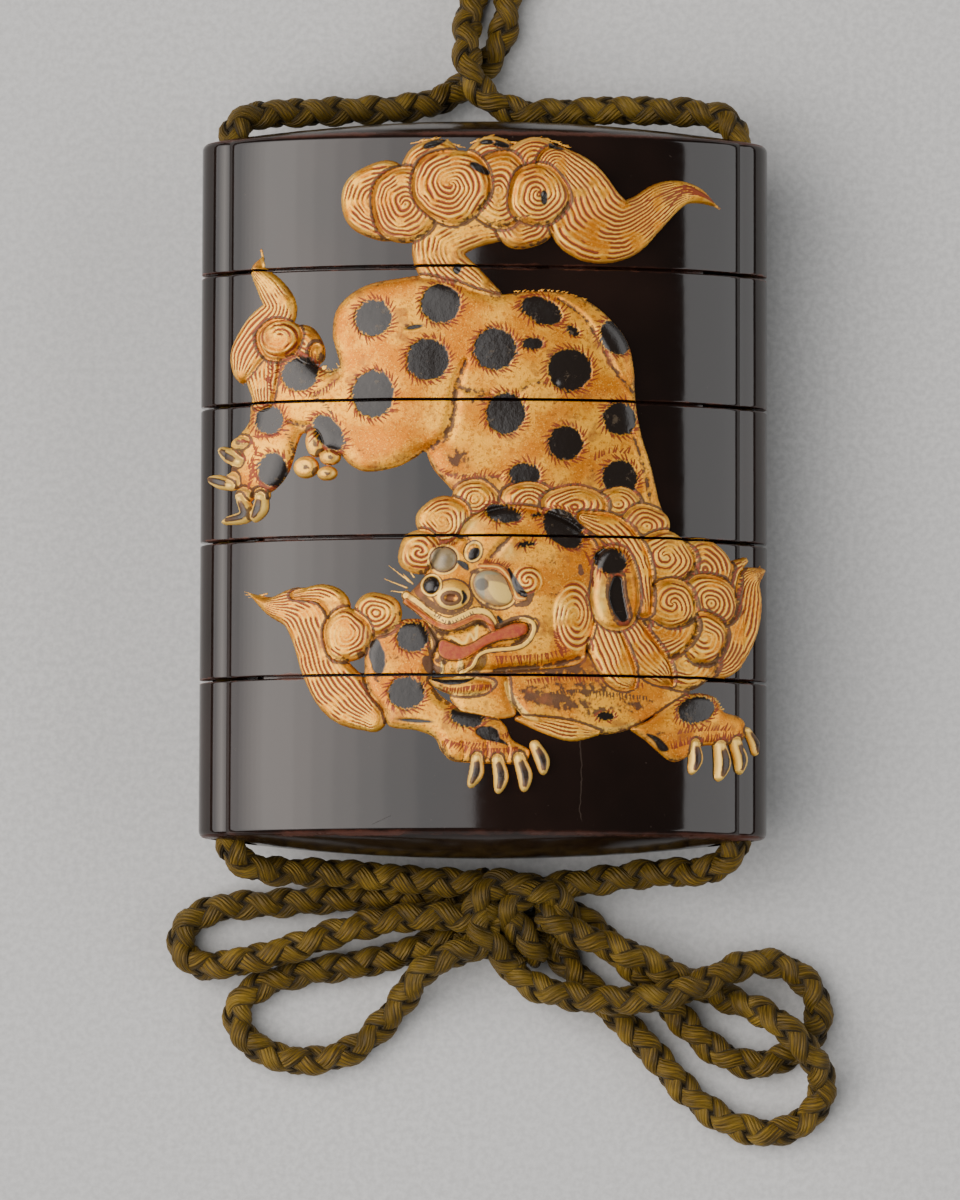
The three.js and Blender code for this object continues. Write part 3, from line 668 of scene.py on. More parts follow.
make_sections()

# ---------------------------------------------------------------- the raised lion

CELL = 0.085
FIELD = (-28.4, 29.3, -33.4, 36.6)  # left, right, bottom and top of the figure
FIGURE_Y = -0.35  # how far the figure's zero lies below the stack's
SUNK = 0.25
PERIOD = 0.5  # from one hair line to the next
CURL_HEIGHT = 1.3


def to_stretch(x, y, start, end):
    """The share along a straight stretch that is nearest to each point, and the way there."""
    rx, ry = end[0] - start[0], end[1] - start[1]
    share = clamp(((x - start[0]) * rx + (y - start[1]) * ry) / (rx * rx + ry * ry + 1e-9))
    return share, x - start[0] - rx * share, y - start[1] - ry * share


class Relief:
    """The lion as it is laid up: heights over the skin, and a mask for each colour."""

    def __init__(self):
        left, right, bottom, top = FIELD
        self.x, self.y = np.meshgrid(np.arange(left, right, CELL), np.arange(bottom, top, CELL))
        self.height = np.full(self.x.shape, -SUNK)
        self.cover = np.zeros(self.x.shape)
        # brown also holds painted shade and cream also holds painted highlights, besides the brown and cream
        # paint
        names = ("red", "cream", "brown", "black", "flesh", "pale")
        self.marks = {name: np.zeros(self.x.shape) for name in names}
        self.chance = np.random.default_rng(11)
        self.fine, self.patchy, self.broad = (self.cloud(grain) for grain in (0.4, 1.1, 3.0))

    def cloud(self, grain):
        """Smooth noise from 0 to 1 with spots of this size."""
        rows, columns = self.x.shape
        step = grain / CELL
        lattice = self.chance.random((int(rows / step) + 3, int(columns / step) + 3))
        v, u = np.arange(rows) / step, np.arange(columns) / step
        j, i = v.astype(int), u.astype(int)
        v, u = (v - j)[:, None], (u - i)[None, :]
        v, u = v * v * (3 - 2 * v), u * u * (3 - 2 * u)
        low = lattice[np.ix_(j, i)] * (1 - u) + lattice[np.ix_(j, i + 1)] * u
        high = lattice[np.ix_(j + 1, i)] * (1 - u) + lattice[np.ix_(j + 1, i + 1)] * u
        return low * (1 - v) + high * v

    def window(self, x0, x1, y0, y1, margin=0.7):
        left, _, bottom, _ = FIELD
        rows, columns = self.x.shape
        spans = []
        for low, high, start, count in ((y0, y1, bottom, rows), (x0, x1, left, columns)):
            first = min(max(int((low - margin - start) / CELL), 0), count - 1)
            last = min(max(int((high + margin - start) / CELL) + 2, first + 1), count)
            spans.append(slice(first, last))
        return tuple(spans)

    def mark(self, name, at, amount):
        self.marks[name][at] = np.maximum(self.marks[name][at], clamp(amount))

    def clear(self, at, amount, keep=()):
        for name, mask in self.marks.items():
            if name not in keep:
                mask[at] *= 1 - clamp(amount)

    def lay(self, at, depth, height, shoulder=0.9, rim=0.45):
        """Lay a form whose outline is at depth 0 over what is there already, with a painted shadow just
        outside it where it lies over gold, and a painted highlight just inside its outline.
        """
        edge = clamp(depth / 0.12 + 0.5)
        share = clamp(depth / shoulder)
        swelling = height * np.sqrt(1 - (1 - share) ** 2)
        old = self.height[at]
        inside = np.maximum(swelling, np.minimum(old, 0.55 * height))
        outside = np.maximum(old, np.clip(depth * 1.3, -SUNK, 0))
        self.height[at] = np.where(depth > 0, inside, outside)
        self.clear(at, edge)
        # painted shadow: brown just outside the new outline, over gold laid before
        shadow = np.exp(-((depth + 0.12) / 0.2) ** 2) * (self.cover[at] > 0.5) * (depth < 0.04)
        self.mark("brown", at, shadow * 0.85)
        self.cover[at] = np.maximum(self.cover[at], edge)
        # painted highlight: a cream band just inside the outline
        band = np.exp(-((depth - 0.2) / 0.13) ** 2)
        self.mark("cream", at, band * rim * (0.5 + 0.8 * self.patchy[at]))

    def oval(self, x, y, rx, ry, turn=0, reach=1.0):
        """A window round an ellipse, with the share of its radius and the angle there."""
        far = max(rx, ry) * reach
        at = self.window(x - far, x + far, y - far, y + far)
        angle = math.radians(turn)
        dx, dy = self.x[at] - x, self.y[at] - y
        u = (dx * math.cos(angle) + dy * math.sin(angle)) / rx
        v = (dy * math.cos(angle) - dx * math.sin(angle)) / ry
        return at, np.hypot(u, v), np.arctan2(v, u)

    def hair(self, at, phase, strength, red=1.0):
        """Red-brown hair lines with pale ridges between them."""
        wave = np.cos(2 * math.pi * phase)
        broken = clamp(strength) * (0.55 + 0.45 * clamp(3 * self.patchy[at] - 0.6))
        line = clamp((wave - 1.3 + broken) / 0.4) * clamp(strength * 2)
        ridge = clamp((-wave - 0.3) / 0.4) * clamp(strength)
        self.mark("red", at, line * red)
        self.mark("cream", at, ridge * (0.5 + 0.6 * self.broad[at]))
        self.height[at] += 0.04 * ridge - 0.06 * line

    def curl(self, x, y, rx, ry, hand=1, arms=0, eye=(0, 0), turn=0, red=1, rim=0.5):
        """A round curl whose hair lines wind out of its eye."""
        at, share, angle = self.oval(x, y, rx, ry, turn)
        radius = math.sqrt(rx * ry)
        share = share * (1 + 0.035 * np.sin(3 * angle + x) + 0.02 * np.sin(5 * angle + y)) + 0.03
        depth = (1 - share) * min(rx, ry)
        self.lay(at, depth, CURL_HEIGHT, 1.1, rim)
        pull = clamp(1 - share)
        dx = self.x[at] - x - eye[0] * pull
        dy = self.y[at] - y - eye[1] * pull
        wind = np.arctan2(dy, dx)
        wobble = (self.patchy[at] - 0.5) * 0.7 + (self.broad[at] - 0.5) * 0.8
        phase = share * radius / PERIOD - hand * arms * wind / (2 * math.pi) + wobble
        strength = clamp((depth - 0.25) / 0.2) * np.clip(2.2 * self.patchy[at], 0.15, 1)
        self.hair(at, phase, strength, red)
        # painted shade: browner on the curl's lower right side, away from the light, and towards its outline
        shaded_side = clamp(np.cos(wind + 0.9)) * clamp(1.1 - depth) * (depth > 0)
        edge = 0.3 * clamp(0.7 - depth) * (depth > 0)
        self.mark("brown", at, (edge + 0.5 * shaded_side) * (0.4 + self.fine[at]))

    def path(self, line, smooth=5):
        """A line of [x, y, half width] made smooth."""
        line = np.array(line, float)
        if len(line) < 3:
            return line
        ends = [2 * line[0] - line[1], *line, 2 * line[-1] - line[-2]]
        t = np.linspace(0, 1, smooth, endpoint=False)[:, None]
        parts = [0.5 * (2 * b + (c - a) * t + (2 * a - 5 * b + 4 * c - d) * t ** 2
                        + (3 * b - a - 3 * c + d) * t ** 3)
                 for a, b, c, d in zip(ends, ends[1:], ends[2:], ends[3:])]
        return np.vstack([*parts, line[-1:]])

    def along(self, line, margin=0.7):
        """A window round a line, with depth inside its width, the signed share across it
        and the share of its length."""
        line = self.path(line)
        half = line[:, 2].max()
        at = self.window(line[:, 0].min() - half, line[:, 0].max() + half,
                         line[:, 1].min() - half, line[:, 1].max() + half, margin)
        x, y = self.x[at], self.y[at]
        best = np.full(x.shape, 1e9)
        depth, across, run = (np.full(x.shape, -9.0) for _ in range(3))
        for i, (start, end) in enumerate(zip(line, line[1:])):
            t, dx, dy = to_stretch(x, y, start, end)
            width = np.maximum(start[2] + (end[2] - start[2]) * t, 0.02)
            off = np.hypot(dx, dy)
            share = off / width
            side = np.sign((end[0] - start[0]) * dy - (end[1] - start[1]) * dx)
            nearer = share < best
            best = np.where(nearer, share, best)
            depth = np.where(nearer, width - off, depth)
            across = np.where(nearer, share * side, across)
            run = np.where(nearer, (i + t) / (len(line) - 1), run)
        return at, depth, across, run

    def lock(self, line, height=1, red=1, skew=0, spread=1):
        """A tapering lock with hair lines that run along it."""
        at, depth, across, run = self.along(line)
        width = max(p[2] for p in line)
        half = depth / np.clip(1 - np.abs(across), 0.05, 1)
        self.lay(at, depth, height, rim=0.45 * clamp(half / width * 2))
        wobble = (self.patchy[at] - 0.5) * 0.5 + (self.broad[at] - 0.5) * 0.6
        phase = across * width / (PERIOD * spread) + wobble + skew * run
        room = clamp(half / width * 4 - 0.4)
        strength = clamp((depth - 0.12) / 0.2) * room * clamp(2.0 * self.patchy[at])
        self.hair(at, phase, strength, red)

    def frayed(self, x, y, angle, count=5, spread=24, length=1.6):
        """Loose hairs at the tip of a lock."""
        for k in range(count):
            turn = math.radians(angle + spread * (k / (count - 1) - 0.5) + 4 * self.chance.random())
            back = 0.3 + 0.9 * self.chance.random()
            self.whisker("cream", x - back * math.cos(turn), y - back * math.sin(turn), turn,
                         length * (0.8 + 0.7 * self.chance.random()), 0.08, 0.5, over=True)

    def form(self, outline, height, shoulder=1.6, shade=0.5, rim=0.35):
        """A broad form inside a smooth closed outline, with painted shade towards its edge and a few random
        brown patches.
        """
        points = np.array(outline, float)
        ring = self.path([(*p, 0) for p in [*points[-2:], *points, *points[:2]]], 4)[8:-8, :2]
        at = self.window(ring[:, 0].min(), ring[:, 0].max(), ring[:, 1].min(), ring[:, 1].max())
        x, y = self.x[at], self.y[at]
        off = np.full(x.shape, 1e9)
        inside = np.zeros(x.shape, bool)
        for start, end in zip(ring, np.roll(ring, -1, 0)):
            (x0, y0), (x1, y1) = start, end
            off = np.minimum(off, np.hypot(*to_stretch(x, y, start, end)[1:]))
            if y0 != y1:
                inside ^= ((y0 > y) != (y1 > y)) & (x < x0 + (x1 - x0) * (y - y0) / (y1 - y0))
        depth = np.where(inside, off, -off)
        self.lay(at, depth, height, shoulder, rim=rim)
        # painted shade: browner towards the outline
        edge_shade = np.exp(-np.clip(depth, 0, 9) / 0.7) * (depth > 0)
        self.mark("brown", at, shade * edge_shade * (0.25 + self.patchy[at]))
        self.mark("brown", at, 0.5 * shade * clamp(self.broad[at] * 3 - 1.9) * (depth > 0))

    def swell(self, x, y, rx, ry, turn, rise):
        """A soft swelling of what is there already."""
        at, share, _ = self.oval(x, y, rx, ry, turn)
        self.height[at] += rise * clamp(1 - share ** 2) ** 2 * (self.cover[at] > 0.5)

    def stroke(self, name, line, amount=1, lift=0, over=False):
        """A painted stroke along a line of [x, y, half width]."""
        at, depth, _, _ = self.along(line, 0.3)
        mask = clamp(depth / 0.09 + 0.5)
        if over:
            self.clear(at, mask)
            self.cover[at] = np.maximum(self.cover[at], mask)
            self.height[at] = np.maximum(self.height[at], np.clip(depth * 1.3, -SUNK, 0.12))
        self.mark(name, at, mask * amount)
        self.height[at] += lift * mask

    def crease(self, line, deep=0.35, brown=0.75):
        """A soft fold in a form: lower along the line, with painted shade down the fold as strong as brown.
        """
        at, _, across, _ = self.along(line, 0.6)
        fold = np.exp(-np.clip(across, -9, 9) ** 2 * 1.2) * (self.cover[at] > 0.5)
        self.height[at] -= deep * fold
        # painted shade in the fold
        self.mark("brown", at, brown * fold * (0.5 + 0.6 * self.fine[at]))

    def blush(self, x, y, rx, ry, amount, turn=0, name="brown"):
        """A soft patch of colour."""
        at, share, _ = self.oval(x, y, rx, ry, turn, 1.6)
        soft = np.exp(-share ** 2 * 1.6) * amount * (0.4 + 0.9 * self.fine[at])
        self.mark(name, at, soft)

    def whisker(self, name, x, y, angle, length, width, amount=1, over=False, erase=False):
        """One short tapering hair, drawn in a colour or taken out of it."""
        dx, dy = math.cos(angle), math.sin(angle)
        tip_x, tip_y = x + dx * length, y + dy * length
        at = self.window(min(x, tip_x), max(x, tip_x), min(y, tip_y), max(y, tip_y), 0.2)
        u, v = self.x[at] - x, self.y[at] - y
        t = (u * dx + v * dy) / length
        half = width * clamp(1 - t) ** 0.6
        mask = clamp((half - np.abs(v * dx - u * dy)) / 0.07 + 0.5) * (t > -0.03) * (t < 1)
        if over:
            self.cover[at] = np.maximum(self.cover[at], mask)
            self.height[at] = np.maximum(self.height[at], mask * 0.1 - SUNK * (mask < 0.05))
        if erase:
            self.marks[name][at] *= 1 - mask * amount
        else:
            self.mark(name, at, mask * amount)

    def fur(self, line, length=0.7, spacing=0.42, lean=60, name="red", width=0.1, amount=0.9, over=False):
        """Short hairs that stand out of a line to its left, leaning along it."""
        points = self.path([(*p, 0) for p in line], 8)[:, :2]
        run = np.concatenate([[0], np.cumsum(np.hypot(*np.diff(points, axis=0).T))])
        for s in np.arange(0, run[-1], spacing):
            s += (self.chance.random() - 0.5) * spacing * 0.5
            x, y = (np.interp(s, run, points[:, k]) for k in range(2))
            ahead = [np.interp(s + 0.2, run, points[:, k]) - np.interp(s - 0.2, run, points[:, k])
                     for k in range(2)]
            angle = math.atan2(ahead[1], ahead[0]) + math.radians(lean + 24 * (self.chance.random() - 0.5))
            size = length * (0.65 + 0.6 * self.chance.random())
            self.whisker(name, x, y, angle, size, width * (0.8 + 0.4 * self.chance.random()), amount, over)

    def spot(self, x, y, rx, ry, turn=0, fringe=True, length=0.85):
        """A black lacquer spot with a fringe of short hairs round it."""
        at, share, _ = self.oval(x, y, rx, ry, turn, 1.1)
        ragged = share + 0.16 * (self.fine[at] - 0.5) + 0.1 * (self.patchy[at] - 0.5)
        mask = clamp((1 - ragged) * min(rx, ry) / 0.1 + 0.5) * (self.cover[at] > 0.3)
        self.clear(at, mask)
        self.mark("black", at, mask)
        self.height[at] -= 0.09 * mask
        if not fringe:
            return
        swing = math.radians(turn)

        def on_edge(phi, reach):
            u, v = rx * math.cos(phi) * reach, ry * math.sin(phi) * reach
            return (x + u * math.cos(swing) - v * math.sin(swing),
                    y + v * math.cos(swing) + u * math.sin(swing))

        count = int(math.pi * (rx + ry) / 0.41)
        for k in range(count):
            phi = 2 * math.pi * (k + 0.6 * self.chance.random()) / count
            slant = math.atan2(ry * math.sin(phi), rx * math.cos(phi)) + swing
            slant += math.radians(42 + 14 * (self.chance.random() - 0.5))
            size = length * (0.6 + 0.7 * self.chance.random())
            self.whisker("red", *on_edge(phi, 1.01), slant, size, 0.105)
            self.whisker("black", *on_edge(phi + math.pi / count, 1.05), slant + math.pi + 0.2,
                         0.5 * size, 0.09, 0.9, erase=True)

    def claw(self, root, tip, half=0.6, bend=None):
        """A curved claw: a cream edge round a dark middle."""
        (x0, y0), (x1, y1) = root, tip
        bend = bend or ((x0 + x1) / 2 + 0.1 * (y0 - y1), (y0 + y1) / 2)
        late = [0.25 * bend[k] + 0.75 * tip[k] for k in range(2)]
        line = [(x0, y0, half * 0.75), (*bend, half), (*late, half * 0.6), (x1, y1, 0.08)]
        at, depth, across, run = self.along(line)
        self.lay(at, depth, 0.95, 0.6, rim=0)
        self.mark("cream", at, clamp(depth / 0.08 + 0.5))
        core = clamp((0.6 - np.abs(across)) / 0.25) * clamp((0.8 - run) / 0.15) * (depth > 0)
        core *= clamp(run * 8)
        self.clear(at, core * 0.9)
        self.mark("brown", at, core * 0.9)
        self.mark("black", at, core * np.clip(1.1 - np.abs(run - 0.35) * 3, 0, 0.9))


def each(method, *rows):
    """Call a method with one row of values after another."""
    for row in rows:
        method(*row)


def draw_tail(lion):
    lion.lock([(0.4, 19.2, 1.5), (-2.2, 20.8, 2.3), (-4.4, 22.8, 2.6), (-4.6, 25.2, 2.7), (-1.8, 26.6, 2.2),
               (2.2, 27.3, 1.8)], 0.9, 0.75)
    each(lion.curl, (-10.9, 29.6, 4.1, 4.3, -1, 0, (2.6, -0.6)),
         (-5.6, 33, 3.6, 2.9, 1, 0, (1.4, -2.2), 25), (-8.1, 29.1, 3.8, 4.1, -1, 2, (-0.6, 0)),
         (0.7, 33.4, 3.2, 2.9, -1, 0, (-1.2, -2.4)), (4.1, 27.2, 3.4, 2.7, 1, 0, (0.8, 2.4)),
         (5.6, 33.3, 3.8, 2.8, -1, 0, (-1.2, -2.2), -20))
    lion.lock([(7.4, 33.2, 2.2), (9.4, 31, 3.3), (10.9, 27.7, 4.2), (13.9, 26.7, 3.1), (16.4, 28.1, 2.3),
               (18.5, 29.9, 1.9), (20.4, 30.8, 1.3), (22.2, 30.7, 0.8), (24, 29.8, 0.12)], 1, 1, 0.6, 1.25)
    each(lion.curl, (1.4, 30.6, 3.5, 4.2, -1, 0, (-2.4, 0)), (5.5, 30.1, 3.3, 3.4, 1, 2, (0, 0.4)),
         (-3.4, 31, 4.3, 4.1, -1, 4, (-0.3, 0.3)))
    for start, drop in ((16.5, 0.7), (17.5, 0.1), (18.5, -0.5)):
        lion.stroke("red", [(start, 28.9 + drop, 0.05), (20.3, 31 + drop * 0.6, 0.12),
                            (22.3, 30.7 + drop * 0.3, 0.1), (23.7, 30 + drop * 0.1, 0.05)], 0.7)
    lion.frayed(23.6, 30, -25, 6)
    for line in ([(9.6, 34.6), (11.4, 32.9), (12.8, 30.9), (14.6, 29.6)],
                 [(-7.8, 35.6), (-5, 36), (-2.6, 35.2)], [(-1.6, 35.6), (0.8, 36.2), (3, 35.6)],
                 [(3.6, 35.8), (6, 36.1), (8.6, 35.3)]):
        lion.fur(line, 0.75, 0.3, 14, "cream", 0.065, 0.6, over=True)
    lion.fur([(-1.5, 26.6), (3, 27.6), (6, 28)], 0.5, 0.4, 15, "brown", 0.07)
    for x, y, rx, ry, turn in ((-5.2, 35.5, 1.4, 0.45, 25), (1.5, 35.4, 1.1, 0.4, -14),
                               (7.3, 35.2, 0.95, 0.3, -16), (-0.5, 32.8, 1.25, 0.42, -28),
                               (6.1, 29.8, 0.38, 0.85, 0), (-2.8, 22.3, 0.45, 0.6, -20),
                               (0.2, 35.6, 0.8, 0.35, 0)):
        lion.spot(x, y, rx, ry, turn, fringe=False)


def draw_body(lion):
    lion.form([(-15.8, 15.4), (-15.5, 18), (-14, 19.8), (-11.8, 20.9), (-9, 21.4), (-6.3, 21.7), (-4, 21.2),
               (-2.6, 20.9), (-1.2, 20.3), (1.5, 19.7), (4.5, 20), (7.8, 20), (10.6, 19.2), (13, 17.4),
               (14.9, 15), (15.6, 12), (15.8, 8.5), (16.4, 5.2), (17.4, 2), (18.2, -1.5), (18.9, -5.4),
               (12, -7.5), (4, -6), (-1, -3), (-3.6, -0.4), (-5.2, 1.4), (-6.1, 3.1), (-7.2, 2.6),
               (-9, 1.7), (-12, 1.2), (-13.8, 1.9), (-15, 3.1), (-16.6, 3.5), (-17.8, 4.8), (-18.8, 5.4),
               (-19.4, 4.4), (-19.9, 2.6), (-20.5, 1), (-21.6, -0.3), (-22.9, -0.9), (-24.6, -0.6),
               (-25.9, 0.2), (-26.4, 1.6), (-26, 3.3), (-26.4, 4.6), (-25.4, 5.6), (-24.5, 6.8),
               (-24.3, 8.8), (-23.6, 11.2), (-21.6, 13.4), (-19, 13.9), (-17.6, 12.6), (-16.4, 11.8),
               (-15.1, 12.2), (-15.3, 13.6)], 0.95, 1.9, 0.6)
    each(lion.swell, (-9, 13, 5.5, 8, 8, 0.3), (5, 13, 8, 5, -6, 0.15), (7, 4, 7, 6, -12, 0.22),
         (-9, 4.5, 4, 2.4, 0, 0.2))
    each(lion.crease,
         ([(-1.9, 12.6, 0.3), (-2.8, 10.2, 0.5), (-3.1, 7.4, 0.55), (-3.9, 4.8, 0.6), (-6.2, 3, 0.5)],),
         ([(7.6, 19.3, 0.2), (10.2, 17.4, 0.35), (12, 14.6, 0.4), (13.4, 12, 0.4), (15.4, 9.6, 0.3)], 0.25),
         ([(15.2, 5.6, 0.2), (16.2, 2.8, 0.35), (16.9, 0, 0.35), (17.4, -3.5, 0.3)], 0.22),
         ([(3.4, 9.2, 0.25), (5, 10.3, 0.35), (7.4, 10.4, 0.3)], 0.18, 0.55),
         ([(-2.9, 10.1, 0.3), (-1.2, 9.5, 0.4), (0.6, 9.4, 0.3)], 0.18, 0.7),
         ([(-14.9, 11.4, 0.3), (-16.2, 9.9, 0.4), (-17.6, 9.3, 0.3)], 0.15, 0.5),
         ([(-3.6, 0.8, 0.4), (-1.6, 0.6, 0.5), (1.6, 0.4, 0.4)], 0.15, 0.6))
    each(lion.blush, (-2.6, 2.4, 1.8, 1.5, 0.75), (-7.4, 16.3, 1.5, 0.6, 0.8), (-0.4, 8.6, 2.6, 1, 0.55),
         (6.4, 10.5, 2.5, 0.8, 0.45), (11.5, 1.5, 2.5, 2.5, 0.3), (-12, 3, 3.5, 1.6, 0.3),
         (4, -1, 6, 1.6, 0.5), (14.5, 11, 1, 3, 0.35), (12.3, 9.2, 2, 1, 0.4))
    each(lion.spot, (-11.4, 17.2, 1.95, 2), (-4.5, 18.7, 2.15, 2.15), (-5.8, 12.8, 2.25, 2.25),
         (-11.4, 9.2, 2.25, 2.5), (1.1, 13.9, 2.25, 2.25), (8.8, 11.8, 2.4, 2.25),
         (5.9, 18, 2.35, 1.4, -22), (13.6, 15.4, 1.7, 2, 30), (2.2, 7.2, 2.1, 2.25), (8.4, 4.1, 1.85, 1.9),
         (14, 6.8, 1.85, 1.8, -20), (14, 0.6, 1.9, 1.95), (4.2, 0.8, 1.7, 1.3),
         (5, 14.5, 1.15, 0.7, 0, True, 0.55), (9.1, 15.9, 0.85, 0.5, -35, True, 0.5),
         (-7.2, 16.2, 1, 0.25, 10, False))
    each(lion.fur, ([(-4.6, 1.2), (-3.2, 0.4), (-1.4, 0.3), (0.6, 0.6), (2.2, 0.2)], 0.8, 0.35),
         ([(11.4, 2.4), (13, 3.2), (14.8, 3.2)], 0.8, 0.4),
         ([(5, -0.4), (7.4, -0.6), (10, -0.4)], 0.7, 0.4),
         ([(-15.2, 6.4), (-16, 8), (-17.6, 9.4)], 0.6, 0.4, 40, "brown", 0.08),
         ([(3, 20), (7.6, 20.1), (10.8, 19.2)], 0.45, 0.5, 30, "cream", 0.06, 0.6, True))


def draw_hind_leg(lion):
    each(lion.lock, ([(-22.9, 16.4, 1.6), (-23.1, 14, 2.2), (-23, 11.4, 1.8), (-22.8, 9, 1.2)], 0.9),
         ([(-23.2, 24, 0.08), (-23.7, 22.7, 0.6), (-22.3, 20.7, 1.35), (-21.3, 18.5, 1.7),
           (-22.8, 16.4, 2.2), (-24.4, 14.2, 1.9), (-25, 12.4, 1.2), (-25.3, 11.2, 0.3)],))
    each(lion.curl, (-18.4, 14.6, 1.6, 2.3, -1, 0, (-1.6, -0.6), 25, 0.8), (-17.3, 13.7, 0.75, 1.1, -1, 1))
    each(lion.frayed, (-23.2, 23.8, 95, 5, 16), (-25.4, 11.4, -70, 4, 40, 1.1))
    lion.curl(-21.1, 15.2, 2.5, 2.3, 1, 2, (0, 0), 0, 1, 0.2)
    draw_whorl(lion, -20.9, 15.4, 2.2, 2, hand=-1, arms=2)
    for x, y, rx, ry, turn in ((-17.6, 4.3, 0.95, 1.5, 8), (-16, 2.8, 1.1, 0.85, 0),
                               (-18.5, 1.8, 1.3, 1.15, 0), (-16.3, 1.1, 1.05, 0.75, 0),
                               (-25.2, 4.6, 1.1, 0.75, 10), (-25.6, 2.9, 0.9, 0.9, 0),
                               (-26, 0.7, 0.9, 0.95, 0), (-24.9, -0.9, 0.95, 0.85, 0),
                               (-23.1, -1, 0.8, 0.8, 0)):
        pad, share, _ = lion.oval(x, y, rx, ry, turn, 1.2)
        lion.lay(pad, (1 - share) * min(rx, ry), 0.9, 0.6, rim=0.9)
        lion.mark("cream", pad, clamp(0.9 - share) * 0.7)
        lion.blush(x + 0.2, y - 0.1, rx * 0.5, ry * 0.4, 0.9)
    each(lion.spot, (-19, 11.5, 1.95, 1.85), (-22.1, 6.8, 1.6, 1.55), (-16, 5.3, 2.2, 1.35, -52),
         (-21.8, 1.6, 1.5, 1.85))
    lion.stroke("brown", [(-18.9, 13.3, 0.2), (-17.8, 12.9, 0.35), (-17.2, 12.1, 0.3)], 0.9)
    each(lion.fur,
         ([(-14.9, 11.9), (-16, 11.4), (-17, 11.8), (-17.4, 12.6)], 0.8, 0.3, -70, "cream", 0.09, 0.9,
          True), ([(-15.4, 10.8), (-16.6, 9.9), (-18.2, 9.4)], 0.7, 0.35),
         ([(-21.6, 9.6), (-22, 11), (-21.8, 12.6)], 0.7, 0.35, 50))
    for line in ([(-25.6, 3.4), (-24.4, 2.6), (-24, 1.2), (-24.4, -0.4)],
                 [(-24.8, 4.6), (-23.8, 4.4), (-23.4, 3)], [(-23.9, 2.6), (-23.6, 1.2), (-22.8, 0)],
                 [(-22.9, -0.1), (-22, -0.4), (-21.2, 0)], [(-23.2, 5), (-22, 5), (-20.8, 5.2)]):
        lion.fur(line, 0.75, 0.3, 150)
    lion.fur([(-20.6, 5.6), (-20, 4.2), (-19.8, 2.8)], 0.6, 0.4, 60, "brown", 0.08)
    lion.crease([(-20.2, 6.6, 0.25), (-19, 6.2, 0.4), (-18, 6.2, 0.25)], 0.2)
    each(lion.blush, (-25.2, 4.7, 0.7, 0.4, 0.8), (-20.5, 1.2, 0.5, 1.6, 0.7))
    each(lion.claw, ((-25.3, 2.6), (-27.5, 4.1), 0.75), ((-26.2, 0.2), (-28.6, 1.1), 0.7),
         ((-25.2, -1.2), (-27.3, -3.6), 0.7, (-24.7, -3)), ((-23.1, -1.2), (-23.9, -3.6), 0.75))


